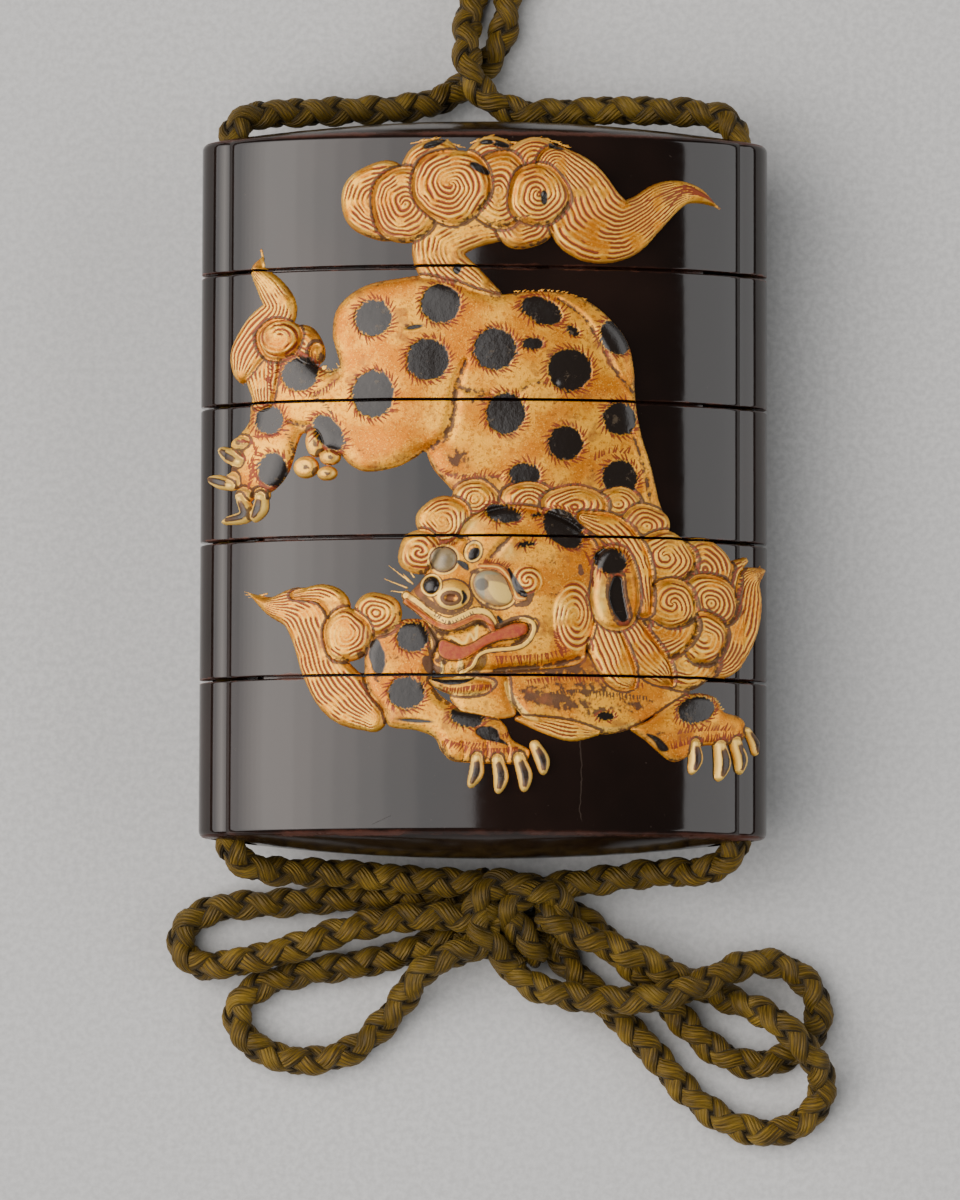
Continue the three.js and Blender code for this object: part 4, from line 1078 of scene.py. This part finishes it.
def draw_forelegs(lion):
    lion.lock([(-24.2, -11.4, 0.1), (-21.9, -12.7, 1), (-18.8, -13.2, 2.4), (-17.4, -15.8, 2.5),
               (-16.4, -19.4, 2.4), (-14.2, -22.4, 2.7), (-11.4, -24.6, 1.4)], 1, 1, 0.6)
    lion.frayed(-23.6, -11.5, 172, 5, 30)
    lion.lock([(-19.4, -11.6, 0.5), (-16.8, -11.5, 1), (-15.2, -12.6, 1.3), (-15, -14.4, 0.9)], 0.9)
    lion.form([(-12.3, -17.6), (-11, -15.6), (-8.8, -14.4), (-6.2, -14.4), (-4.9, -16.2), (-5, -18.8),
               (-5.4, -20.6), (-4.4, -22.2), (-2.4, -23.4), (0.4, -24), (2.2, -25.2), (3, -26.8),
               (4.8, -27.9), (4.2, -29.2), (1.6, -29.3), (-1.4, -29.2), (-3.2, -29), (-4.3, -28),
               (-5, -26.6), (-7, -25.8), (-9.7, -25.4), (-10.4, -23.6), (-11.8, -22), (-12.3, -20)], 0.95,
              1.4, 0.6)
    each(lion.curl, (-10.9, -13.7, 2.6, 2.3, -1, 0, (-1.6, -0.9), -30, 0.8), (-14, -15.9, 2.6, 2.9, 1, 2))
    lion.stroke("brown", [(-12, -17.2, 0.3), (-10.3, -18.2, 0.45), (-10.8, -20.4, 0.5)], 0.5)
    lion.blush(-8.9, -18.4, 1.6, 2.2, 0.4)
    each(lion.spot, (-10.9, -18.2, 0.85, 1.9, 8, False), (-7.3, -16.2, 1.7, 1.65), (-7.9, -22, 1.95, 1.75),
         (-1.7, -24.5, 1.85, 1.1, -12), (-7, -24.9, 2, 0.22, -4, False))
    lion.crease([(-5.6, -20.4, 0.3), (-4.6, -22.4, 0.5), (-2.4, -23.6, 0.4)], 0.25)
    # the near paw: a black gap below the wrist, knuckles and fur
    lion.spot(0.5, -26.2, 1.3, 0.75, -12, False)
    lion.stroke("black", [(0.2, -26.4, 0.5), (1.8, -27, 0.25), (2.6, -27.4, 0.08)])
    for x in (-3.2, -1.2, 1.2, 3.4):
        lion.crease([(x - 0.9, -27.2, 0.15), (x - 0.7, -28.2, 0.25), (x - 0.9, -29, 0.2)], 0.25, 0.6)
    each(lion.fur, ([(3.6, -27.6), (1.2, -27.8), (-1.4, -27.6), (-3.8, -26.8)], 0.8, 0.3, 80),
         ([(2.6, -26), (0.2, -27.2), (-2.4, -27)], 0.7, 0.35, 70))
    # chest, throat and belly
    lion.form([(1.6, -20.4), (3, -18.4), (8, -17.6), (14, -18), (18.6, -19.4), (21.6, -21.6), (19.6, -23.2),
               (17.4, -24.2), (15.6, -25.4), (13, -26.1), (10.6, -25.8), (7.4, -24.9), (4.6, -24.6),
               (3.2, -23.2), (2, -21.8)], 0.9, 1.5, 0.7)
    lion.lock([(3.6, -24.6, 0.3), (6.4, -25.3, 0.8), (9.2, -25.9, 1), (11.8, -26, 0.3)], 0.5, 1, 0, 0.8)
    lion.form([(-3.4, -22.6), (-3, -20), (0, -19), (2.4, -19.6), (2.9, -22.4), (3.4, -24.2), (1.6, -24.6),
               (-0.6, -24.2), (-2.4, -23.8)], 0.6, 1.2, 0.4)
    each(lion.blush, (7.5, -22.6, 5.5, 1.6, 0.55, -4), (15, -23, 4, 1.4, 0.5, 18), (8, -19.6, 7, 0.9, 0.8),
         (7.5, -22.8, 5, 1.2, 1, -6), (5.2, -22.2, 2.6, 1.4, 0.9, -25), (10, -21.4, 6.5, 1.5, 0.7),
         (12.4, -23.8, 4, 0.8, 0.8, 8), (16, -23.2, 3, 0.8, 0.6, 22))
    each(lion.stroke,
         ("cream", [(2.4, -21, 0.25), (3, -22.6, 0.35), (4.4, -24.2, 0.3), (5.6, -24.7, 0.15)], 0.8),
         ("cream", [(10.6, -25.3, 0.15), (13.4, -25.7, 0.25), (15.6, -25, 0.15)], 0.5))
    lion.spot(12.6, -24.3, 0.95, 0.5, 0, True, 0.5)
    each(lion.fur, ([(4.6, -20.6), (8, -20.2), (12, -20.2), (16.5, -20.8)], 0.8, 0.3, -80, "red", 0.1, 0.8),
         ([(5.6, -22.2), (9, -21.6), (13, -21.8), (17, -22.2)], 0.7, 0.34, -80, "brown", 0.1, 0.8))
    # the far foreleg
    lion.form([(15.3, -25.6), (17.2, -24.6), (19.4, -22.9), (21.6, -21.7), (24, -21.9), (25, -23.4),
               (26.8, -23.9), (27.4, -24.8), (27.2, -26.2), (25.4, -26.9), (22.8, -27.1), (20.9, -28.5),
               (19.6, -28.8), (18.2, -27.8), (16.8, -26.6)], 0.9, 1.2, 0.6)
    lion.spot(21.9, -23.4, 2, 1.45, 22, True, 0.7)
    each(lion.fur, ([(25.2, -23.2), (24.2, -22), (22.6, -21.6)], 0.9, 0.35, 60, "cream", 0.09, 0.9, True),
         ([(19.4, -27.6), (21.6, -26.9), (24, -26.6), (26.6, -26.2)], 0.9, 0.28, 80),
         ([(20, -26), (22.6, -25.6), (25.4, -25.4)], 0.9, 0.34))
    lion.stroke("black", [(16.9, -26.1, 0.12), (17.8, -26.6, 0.3), (18.5, -27.4, 0.42), (18.9, -27.6, 0.2)])
    lion.blush(18.4, -26.2, 1.6, 1, 0.5)
    each(lion.claw, ((-0.6, -28.7), (-1.3, -31.7), 0.75), ((1.5, -28.9), (1.6, -32.3), 0.78),
         ((3.7, -28.7), (4.3, -32.1), 0.78), ((5.4, -27.4), (6.3, -30.3), 0.75),
         ((21.9, -26.9), (21.7, -30), 0.7), ((24.6, -27), (24.5, -30.6), 0.78),
         ((26.2, -26.5), (26.8, -29.8), 0.72), ((27.5, -25.2), (28.4, -27.8), 0.42))


def draw_mane(lion):
    each(lion.lock,
         ([(22.4, -19.4, 0.7), (24.8, -18, 1.9), (26, -15, 2.4), (26.7, -12, 2.2), (27.2, -9.8, 1.5),
           (28.9, -8.4, 0.35)], 1, 1, 0, 0.85),
         ([(25.4, -11, 0.8), (25.7, -8.8, 0.9), (27.2, -7.5, 0.4)], 0.9))
    each(lion.frayed, (28.6, -8.6, 40, 6, 40, 1.2), (27, -7.7, 60, 5, 50, 1.1))
    each(lion.curl, (13.8, -2.2, 2.6, 1.9, 1, 0, (0, -1.4)), (-0.9, -1.9, 2.6, 2.2, 1, 0, (-0.4, -1.4)),
         (4.7, -2.1, 3.2, 2.2, 1, 0, (0, -1.6)), (9.3, -2.6, 3.5, 2.4, 1, 0, (-0.8, -1.8)),
         (16.7, -4.4, 2.7, 2.4, 1, 0, (-0.6, -1.6)), (-4.1, -4.1, 2.9, 2.8, -1, 2, (0.4, -0.2)),
         (-6.5, -7.3, 2.45, 2.4, 1, 2), (22.6, -8.8, 3.1, 3.6, -1, 0, (-1.8, -0.6)),
         (23.2, -12.2, 3, 3.2, -1, 1, (-0.8, 0.6)), (20.6, -18.6, 3.8, 2.9, -1, 0, (-1, 1.6), 15),
         (22.6, -15.9, 2.5, 2.9, -1, 2, (-0.3, 0)), (17.6, -14.6, 4.4, 4.1, -1, 0, (1.4, 1.8)),
         (18.6, -7.7, 3.3, 3, -1, 2, (-0.4, 0.3)), (15.4, -10.6, 2.2, 4.6, -1, 0, (-1.4, 0.5), 12))
    each(lion.lock, ([(19.4, -20.8, 0.3), (17.6, -19, 1.7), (15.2, -16.2, 2), (14, -13.4, 1.4)], 1.1),
         ([(15.4, -21.2, 0.3), (14, -19.6, 1.8), (12.6, -16.4, 1.9), (11.8, -13.6, 1.2)], 1.1))
    lion.curl(19.3, -12.4, 2.7, 2.7, -1, 3)


def draw_whorl(lion, x, y, rx, ry, hand=1, arms=3):
    """Hair lines that wind over a swelling of the form below."""
    at, share, _ = lion.oval(x, y, rx, ry, 0, 1.0)
    lion.height[at] += 0.45 * clamp(1 - share ** 2)
    lion.clear(at, clamp((1 - share) / 0.2), keep=("black",))
    wind = np.arctan2((lion.y[at] - y) / ry, (lion.x[at] - x) / rx)
    phase = share * math.sqrt(rx * ry) / 0.55 - hand * arms * wind / (2 * math.pi)
    lion.hair(at, phase, clamp((1 - share) / 0.12) * np.clip(2.4 * lion.patchy[at], 0.2, 1))


def ball(lion, x, y, rx, ry, turn, coats, rise=0.5):
    """An eye or a nose: one coat of colour inside another, on a swelling."""
    for shrink, name, amount in coats:
        a, b = rx - shrink, ry - shrink
        at, share, _ = lion.oval(x, y, a, b, turn, 1.3)
        mask = clamp((1 - share) * b / 0.08 + 0.5)
        lion.clear(at, mask)
        lion.mark(name, at, mask * amount)
    lion.height[at] += rise * np.sqrt(clamp(1 - share ** 2))


def draw_eyes(lion):
    # the far eye, the brow's dark marks and the nose
    ball(lion, -4.1, -8.1, 1.65, 1.6, 0, ((0, "cream", 0.8), (0.2, "brown", 1), (0.36, "pale", 0.9)))
    lion.blush(-3.6, -8.2, 0.7, 0.9, 0.55, 0, "black")
    ball(lion, -1.05, -7.3, 1.05, 1.25, -20,
         ((0, "brown", 0.9), (0.15, "cream", 0.8), (0.4, "brown", 0.35)), 0.2)
    each(lion.stroke, ("black", [(-1.25, -7.9, 0.35), (-0.95, -7.5, 0.55), (-0.7, -7.25, 0.35)]),
         ("black", [(-1.35, -6.5, 0.25), (-1, -6.25, 0.2)], 0.45),
         ("black", [(-2.5, -8.4, 0.25), (-1.9, -8.8, 0.35), (-1.6, -9.2, 0.12)]),
         ("brown", [(-6.4, -9.4, 0.2), (-6.9, -11.2, 0.3), (-5.6, -12.6, 0.35), (-4.2, -13.4, 0.4),
                    (-2.6, -13.6, 0.35), (-1.4, -12.6, 0.35), (-1.5, -11.2, 0.25)], 0.8))
    ball(lion, -3.2, -11.8, 2.05, 1.75, 0, ((0, "brown", 0.9), (0.22, "cream", 0.35)), 0.35)
    ball(lion, -5.35, -10.8, 1.25, 1.3, 0, ((0, "brown", 0.9), (0.12, "cream", 0.9), (0.36, "black", 1)))
    ball(lion, -3.3, -12.2, 1.45, 1.15, 0, ((0, "cream", 0.9), (0.35, "brown", 1), (0.75, "flesh", 0.15)),
         -0.3)
    lion.blush(-3.3, -12.2, 0.9, 0.7, 1)
    lion.stroke("black", [(-2.1, -11.5, 0.15), (-1.85, -12.1, 0.25), (-2.1, -12.7, 0.15)])
    # the near eye, its lid and its whorl
    ball(lion, 1.05, -11.1, 2.75, 2.15, -36,
         ((0, "brown", 0.9), (0.2, "cream", 0.5), (0.4, "black", 0.8), (0.55, "pale", 1)), 0.6)
    lion.stroke("cream", [(0.8, -10.9, 0.5), (1.8, -11.6, 0.95), (2.3, -12.2, 0.5)], 0.9)
    lion.marks["pale"][lion.oval(1.9, -11.5, 1, 0.7, -36)[0]] *= 0.75
    at, share, _ = lion.oval(-0.15, -10.75, 0.72, 0.7)
    lion.marks["cream"][at] *= share > 1
    lion.mark("black", at, clamp((1 - share) / 0.15) * 0.75)
    draw_whorl(lion, 4.5, -10.3, 1.6, 1.6, hand=-1, arms=2)
    # painted shadow under the whorl
    lion.stroke("brown", [(4.9, -11.7, 0.35), (4.4, -12.6, 0.4), (3.4, -12.9, 0.2)], 0.8)
    for width, name, amount in ((0.42, "brown", 0.9), (0.3, "flesh", 0.7), (0.09, "cream", 0.9)):
        lion.stroke(name, [(-0.3, -8.8, width * 0.7), (1.5, -8.95, width), (2.5, -9.9, width),
                           (3.1, -11.3, width), (3.5, -12.1, width), (4.2, -12.2, width * 0.6)], amount,
                    0.04, over=True)
    lion.stroke("black", [(2.6, -9.1, 0.15), (3.1, -10.2, 0.3), (3.6, -11.2, 0.42), (4.2, -11.8, 0.3)])
    each(lion.fur, ([(0, -8.5), (1.4, -8.5), (2.6, -9)], 0.55, 0.26, 70),
         ([(-3, -6.6), (-4.2, -6.5), (-5.2, -7)], 0.6, 0.28, -90, "red", 0.09))


def draw_mouth(lion):
    mouth = [(-6.2, -14), (-4.7, -15.3), (-3.2, -15.6), (-1.6, -15.2), (-0.4, -14.5), (0.6, -14.9),
             (1.6, -15.1), (3, -14.5), (4.3, -14.4), (4.9, -15.2), (4.4, -16.3), (3.3, -17), (0.6, -17.4),
             (-0.6, -18), (-1.3, -19.2), (-2.6, -20), (-4.8, -19.9), (-5.4, -18.4), (-4.9, -16.6)]
    lion.form(mouth, 0.35, 0.8, 1, 0)
    lion.blush(-4.2, -18.6, 1.3, 1.2, 0.9)
    each(lion.stroke, ("brown", [(-5.8, -18.6, 0.5), (-5.4, -19.4, 0.6), (-4.6, -19.6, 0.4)], 0.9),
         ("cream", [(-3.4, -16.1, 0.12), (-2, -16.8, 0.12), (-1.4, -15.8, 0.12), (-0.8, -16.6, 0.12),
                    (-0.7, -14.9, 0.2)], 0.9),
         ("brown", [(-3.3, -16.5, 0.15), (-2.2, -17.2, 0.2), (-1, -17, 0.15)], 0.8))
    for grow, name, amount in ((0.16, "brown", 0.8), (0, "flesh", 1)):
        lion.stroke(name, [(-4.1, -17, 0.5 + grow), (-3.6, -17.6, 0.85 + grow), (-2.3, -17.8, 0.65 + grow),
                           (-1, -17.3, 0.45 + grow), (0.3, -16.5, 0.45 + grow), (1.7, -15.9, 0.55 + grow),
                           (3.1, -15.5, 0.75 + grow), (4, -15.3, 0.6 + grow)], amount, 0.15, over=True)
    lion.blush(3.7, -15.6, 0.8, 0.6, 0.7)
    for x, y, rx, ry in ((-2.3, -19.1, 0.4, 0.4), (-4.25, -19.3, 0.24, 0.55), (-3.3, -19.2, 0.1, 0.1)):
        lion.stroke("cream", [(x, y - ry, rx), (x, y + ry, rx * 0.6)], 1, 0.2)
    # the lower lip, with the dark gap in front of the jaw
    lion.stroke("black", [(0.2, -17.9, 0.15), (-0.1, -18.6, 0.5), (-0.6, -19.4, 0.5), (-1, -19.8, 0.2)],
                0.8)
    for width, name, amount in ((0.32, "brown", 0.9), (0.19, "cream", 0.75)):
        lion.stroke(name, [(3.9, -14.3, width), (4.9, -14.6, width), (5.2, -15.4, width),
                           (4.6, -16.6, width), (3.4, -17.3, width), (0.7, -17.6, width),
                           (-0.5, -18.1, width), (-1.1, -19.2, width), (-2.3, -19.9, width)], amount, 0.05,
                    over=True)
    lion.stroke("brown", [(5.3, -14.2, 0.1), (5.7, -14.8, 0.13), (5.5, -15.7, 0.08)], 0.9)
    # the upper lip and the muzzle's ridge over it
    ridge = [(-8, -11.8), (-6.9, -12.6), (-5.3, -13.9), (-3.6, -14.6), (-2.1, -14.1), (-0.7, -13.5),
             (0.4, -13.8), (1, -14.7)]
    for drop, width, name, amount in ((0, 0.5, "brown", 0.7), (0, 0.34, "cream", 0.75),
                                      (0.62, 0.36, "brown", 0.9), (0.62, 0.24, "flesh", 0.9)):
        lion.stroke(name, [(x, y - drop, width) for x, y in ridge], amount, 0.06, over=True)
    lion.fur([(-5, -14), (-3.6, -14.8), (-2.1, -14.3), (-0.8, -13.7)], 0.4, 0.28, 90, "brown", 0.08)
    each(lion.stroke, ("black", [(1.5, -14.1, 0.18), (1.75, -14.5, 0.28)]),
         ("brown", [(1.4, -14.9, 0.1), (3, -14.2, 0.12), (4.4, -14, 0.12), (5.2, -14.3, 0.1)], 0.9))


def draw_head(lion):
    lion.form([(-2.9, -5.9), (-1.8, -4.2), (0.2, -2.9), (3, -2.4), (6.4, -2.9), (9.6, -4.4), (11.8, -7),
               (12.2, -11), (11.6, -14.4), (10.8, -17), (9.8, -18.9), (6, -19.5), (1.6, -19.8),
               (-1.6, -19.9), (-4.4, -20), (-5.4, -17.6), (-5.6, -15.6), (-5, -14.6), (-6.8, -13.4),
               (-8, -12.2), (-6.6, -10.4), (-5.6, -9), (-4.6, -7)], 1.05)
    for x, y, rx, ry, rise in ((6.2, -12.6, 4.5, 5, 0.4), (-3, -12, 3, 2.4, 0.35), (2, -6, 4, 2, 0.3)):
        lion.swell(x, y, rx, ry, 0, rise)
    each(lion.blush, (-1.7, -4.3, 1.7, 1.1, 0.9, 0, "cream"), (2.4, -7.3, 1.5, 1.1, 0.7, 0, "cream"),
         (0.5, -5.6, 1.2, 0.5, 0.5))
    each(lion.spot, (2, -3.3, 1.95, 1.05, -8), (8.2, -4.8, 2.5, 1.75, -42),
         (5.5, -3.4, 0.6, 0.28, 15, True, 0.4), (4.4, -6.5, 0.95, 0.35, 8, True, 0.6))
    each(lion.crease, ([(2.8, -5.7, 0.2), (1.8, -6.7, 0.4), (0.6, -8.1, 0.25)], 0.25, 0.9),
         ([(-3, -5.6, 0.25), (-1.6, -6, 0.35), (-2, -7.2, 0.25)], 0.25))
    draw_whorl(lion, 9.4, -14, 2.3, 3.9)
    lion.blush(7.9, -13.6, 0.7, 1.4, 0.9, 0, "cream")
    draw_eyes(lion)
    draw_mouth(lion)
    # chin, jaw and whiskers
    lion.crease([(1.2, -19.6, 0.3), (3.8, -19.4, 0.4), (7.7, -18.9, 0.35), (10, -18.2, 0.25)], 0.35, 1)
    each(lion.fur, ([(8.4, -17.3), (6.2, -17.9), (3.6, -18.1), (1.2, -18.2)], 0.95, 0.36, 95, "red", 0.11),
         ([(7.2, -15.6), (7.4, -16.8), (8.2, -17.8)], 0.8, 0.3))
    lion.form([(-5.6, -20.5), (-4.6, -21.6), (-2.4, -22.3), (0, -22.1), (1.3, -20.9), (-0.6, -20.3),
               (-3.4, -20.3)], 0.9, 0.9, 0.6, 0.8)
    lion.stroke("black", [(-5.2, -20.6, 0.15), (-3.6, -20.9, 0.3), (-2, -20.8, 0.25), (-1, -20.5, 0.1)])
    lion.fur([(0.8, -21.1), (-0.8, -21.2), (-2.8, -21.5), (-4.2, -21.4)], 0.7, 0.28, 80, "red", 0.11)
    for x, y, turn, size in ((-7.6, -10.4, 142, 2.9), (-7.9, -11, 158, 2.6), (-7.2, -9.9, 124, 2.2),
                             (-8.1, -11.5, 172, 1.6), (-7.3, -10.6, 134, 1.6)):
        lion.whisker("cream", x, y, math.radians(turn), size, 0.09, 0.8, over=True)
    lion.stroke("brown", [(9.9, -8.7, 0.2), (10, -9.4, 0.3)], 0.9)
    # the band of mane over the brow and the ear
    lion.lock([(10.2, -3.6, 0.7), (13.2, -4.8, 1.5), (15.4, -7.4, 1.5), (16.3, -10.4, 1.2),
               (16.6, -13.2, 0.8)], 1.15)
    lion.form([(11.3, -8.6), (12.6, -6.6), (14.6, -6.8), (15.7, -9), (16.1, -12), (15.4, -14.6),
               (13.6, -15.4), (11.8, -14.6), (10.9, -12)], 1.35, 1, 0.3, 0.8)
    lion.blush(12.1, -12, 0.8, 3, 0.9, 0, "cream")
    lion.spot(13, -8.1, 1.75, 1.45, -10)
    each(lion.stroke, ("brown", [(13.6, -9.8, 1), (13.6, -11.6, 1.2), (14.2, -13.8, 1.15)], 0.6),
         ("black", [(13.7, -10.2, 0.55), (13.6, -11.6, 0.8), (13.9, -13, 0.75), (14.3, -13.9, 0.55)], 1,
          -0.4), ("brown", [(14.1, -12.7, 0.55), (14.2, -13, 0.5)], 0.3))
    lion.blush(14.4, -14.6, 1.2, 0.5, 0.7, 0, "red")
    lion.fur([(10.6, -7.4), (11.2, -9), (11.3, -11)], 0.6, 0.3, 200)
    each(lion.blush, (6.5, -8.6, 2.2, 1.2, 0.4), (7.2, -11.4, 1.4, 1.4, 0.45), (0.2, -12.9, 2.2, 0.7, 0.6),
         (-0.8, -9.4, 1, 0.7, 0.7), (5.6, -16.6, 2, 0.8, 0.35), (-5.2, -8.9, 1.3, 0.6, 0.6),
         (10.9, -16.6, 0.7, 1.8, 0.6), (10.6, -11.8, 0.5, 2.4, 0.6))


def draw_lion():
    lion = Relief()
    draw_tail(lion)
    draw_body(lion)
    draw_hind_leg(lion)
    draw_forelegs(lion)
    draw_mane(lion)
    draw_head(lion)
    return lion


def skin_frame(x):
    """Height of the skin over the middle plane, and how far its normal leans, at each x."""
    out = np.abs(x) - RUNNER_X
    on_arc = np.abs(x) <= CREASE_X
    depth = np.where(on_arc, half_depth(x), np.sqrt(np.clip(RUNNER_RADIUS ** 2 - out ** 2, 0.01, None)))
    lean = np.where(on_arc, x / depth * (ARC_HALF_DEPTH / ARC_HALF_WIDTH) ** 2, np.sign(x) * out / depth)
    return depth, lean


def gold_relief():
    """Gold powder over raised lacquer, with red hair lines and black lacquer spots; the cream mask adds
    cream paint and painted highlights, the stippled brown mask brown paint and painted shade.
    """
    paint = Paint("gold_relief")
    red, cream, brown = paint.masks("lines")
    black, flesh, pale = paint.masks("patches")
    broad = paint.noise(170, 4.0, 0.6)
    grain = paint.noise(2600, 3.0, 0.65)
    dust = paint.noise(5600, 2.0, 0.5)
    worn = paint.noise(700, 5.0, 0.7)
    colour = paint.mix(broad.ramp(0.4, 0.6), (0.66, 0.21, 0.006), (1.0, 0.47, 0.03))
    colour = paint.mix(grain.ramp(0.48, 0.66, 0.0, 0.75), colour, (0.5, 0.14, 0.006))
    colour = paint.mix(dust.ramp(0.56, 0.7, 0.0, 0.6), colour, (1.0, 0.58, 0.09))
    colour = paint.mix(worn.ramp(0.62, 0.75, 0.0, 0.5), colour, (0.3, 0.1, 0.02))
    # cream paint, and painted highlights along the forms' rims
    colour = paint.mix((cream * 1.1).least(1.0), colour, (1.0, 0.64, 0.13))
    # brown paint and painted shade, stippled into the powder
    stippled_brown_and_shade = (brown + (grain - 0.5) * 1.1).ramp(0.3, 0.62)
    colour = paint.mix(stippled_brown_and_shade * 0.92, colour, (0.075, 0.034, 0.02))
    colour = paint.mix((red * 1.1 + (dust - 0.5) * 0.4).ramp(0.2, 0.6), colour, (0.24, 0.04, 0.009))
    colour = paint.mix(flesh * (0.7 + grain * 0.4), colour, (0.33, 0.035, 0.014))
    colour = paint.mix(pale * (0.95 - cream * 0.6), colour, (0.25, 0.23, 0.14))
    colour = paint.mix(black, colour, (0.012, 0.008, 0.006))
    glints = (worn.ramp(0.58, 0.68) * black).least(1.0)
    colour = paint.mix(glints * 0.5, colour, (0.11, 0.075, 0.04))
    covered = (black + flesh * 0.8 + pale).least(1.0)
    stains = paint.noise(330, 3.0, 0.6).ramp(0.56, 0.68, 0.0, 0.6) * (1 - covered)
    colour = paint.mix(stains * (1 - cream), colour, (0.3, 0.09, 0.03))
    metal = (1 - covered) * (0.9 - brown * 0.6 - red * 0.5 - cream * 0.45)
    rough = 0.46 + dust * 0.12 - black * 0.3 - pale * 0.22 + glints * 0.15
    brushed = paint.noise(1300, 4.0, 0.65)
    powder = paint.bump((grain + dust) * 0.5 * (1 - black) + (brushed + worn * 0.5) * black, 0.00006, 0.7)
    return paint.finish(Base_Color=colour, Roughness=rough, Metallic=metal.most(0.0), Normal=powder, IOR=1.5)


def colour_attribute(mesh, name, channels):
    colours = np.ones((channels[0].size, 4))
    for k, channel in enumerate(channels):
        colours[:, k] = channel.ravel()
    made = mesh.color_attributes.new(name, "FLOAT_COLOR", "POINT")
    made.data.foreach_set("color", colours.ravel())


def make_lion():
    """One sheet of relief on each section, with its edges let into the lacquer."""
    lion = draw_lion()
    gold = gold_relief()
    columns = lion.x.shape[1]
    depth, lean = skin_frame(lion.x)
    rise = lion.height / np.hypot(1, lean)
    place = np.stack([lion.x + lean * rise, lion.y + FIGURE_Y, CENTRE_Z + depth + rise], 2) * MM
    bounds = [BOTTOM_RIM, *SEAMS, TOP_RIM]
    for section, low, high in zip(SECTIONS, bounds, bounds[1:]):
        low, high = (low + GAP / 2) * MM, (high - GAP / 2) * MM
        rows = np.where((place[:, 0, 1] > low - CELL * MM) & (place[:, 0, 1] < high + CELL * MM))[0]
        rows = slice(rows[0], rows[-1] + 1)
        spots = place[rows].copy()
        spots[..., 1] = np.clip(spots[..., 1], low, high)
        bm = bmesh.new()
        bmesh.ops.create_grid(bm, x_segments=columns - 1, y_segments=len(spots) - 1, size=1)
        mesh = bpy.data.meshes.new("lion_on_" + section)
        bm.to_mesh(mesh)
        mesh.vertices.foreach_set("co", spots.ravel())
        colour_attribute(mesh, "lines", [lion.marks[name][rows] for name in ("red", "cream", "brown")])
        colour_attribute(mesh, "patches", [lion.marks[name][rows] for name in ("black", "flesh", "pale")])
        bm.clear()
        bm.from_mesh(mesh)
        shown = (lion.cover[rows] > 0.02).ravel()
        bare = [f for f in bm.faces if not any(shown[v.index] for v in f.verts)]
        bmesh.ops.delete(bm, geom=bare, context="FACES")
        edges = [e for e in bm.edges if e.is_boundary]
        skirt = bmesh.ops.extrude_edge_only(bm, edges=edges)["geom"]
        for vertex in skirt:
            if isinstance(vertex, bmesh.types.BMVert):
                vertex.co.z -= SUNK * MM
        spread = bm.loops.layers.uv.new("OFBake")
        for face in bm.faces:
            for loop in face.loops:
                x, y, _ = loop.vert.co
                loop[spread].uv = ((x / MM - FIELD[0]) / (FIELD[1] - FIELD[0]), (y - low) / (high - low))
        bm.to_mesh(mesh)
        bm.free()
        mesh.shade_smooth()
        mesh.materials.append(gold)
        piece = link(mesh.name, mesh)
        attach(piece, "root")


make_lion()

# ---------------------------------------------------------------- floor and light


def make_floor():
    """A sheet of grey paper with a fine tooth."""
    bm = bmesh.new()
    bmesh.ops.create_grid(bm, x_segments=1, y_segments=1, size=1.5)
    floor = link("floor", mesh_of(bm, "floor"))
    paint = Paint("paper")
    tooth = paint.noise(1500, 4.0, 0.6)
    mottle = paint.noise(14, 3.0)
    colour = paint.mix(tooth.ramp(0.3, 0.7), (0.465, 0.465, 0.463), (0.575, 0.573, 0.568))
    colour = paint.mix(mottle.ramp(0.3, 0.7, 0.0, 0.25), colour, (0.49, 0.495, 0.50))
    floor.data.materials.append(paint.finish(Base_Color=colour, Roughness=0.95, Specular_IOR_Level=0.1,
                                             Normal=paint.bump(tooth, 0.00005, 0.5)))


def softbox(name, angle, distance, width, length, radiance, tint=(1, 1, 1)):
    """A rectangular light that faces the case, at an angle from overhead towards +X."""
    light = bpy.data.lights.new(name, "AREA")
    light.shape, light.size, light.size_y = "RECTANGLE", length, width
    light.energy = radiance * math.pi * width * length
    light.color = tint
    holder = bpy.data.objects.new(name, light)
    turn = math.radians(angle)
    place = Vector((math.sin(turn), 0, math.cos(turn))) * distance
    holder.location = place
    holder.rotation_euler = place.to_track_quat("Z", "Y").to_euler()
    scene.collection.objects.link(holder)


def light_scene():
    world = bpy.data.worlds.new("world")
    world.use_nodes = True
    sky = world.node_tree.nodes["Background"]
    sky.inputs["Color"].default_value = (1, 1, 1, 1)
    sky.inputs["Strength"].default_value = 0.08
    scene.world = world
    window = -41
    softbox("left_window", window, 1.5, 2.5, 2.4, 2.3)
    for step in range(6):
        half = math.radians(30 - 4.6 * step)
        softbox(f"left_glow_{step}", window - 1.2 * step, 1.3, 2.6 * math.tan(half), 1.6, 0.5,
                (1, 0.9, 0.82))
    softbox("right_card", 63, 1.2, 0.8, 1.8, 2.1)


make_floor()
light_scene()
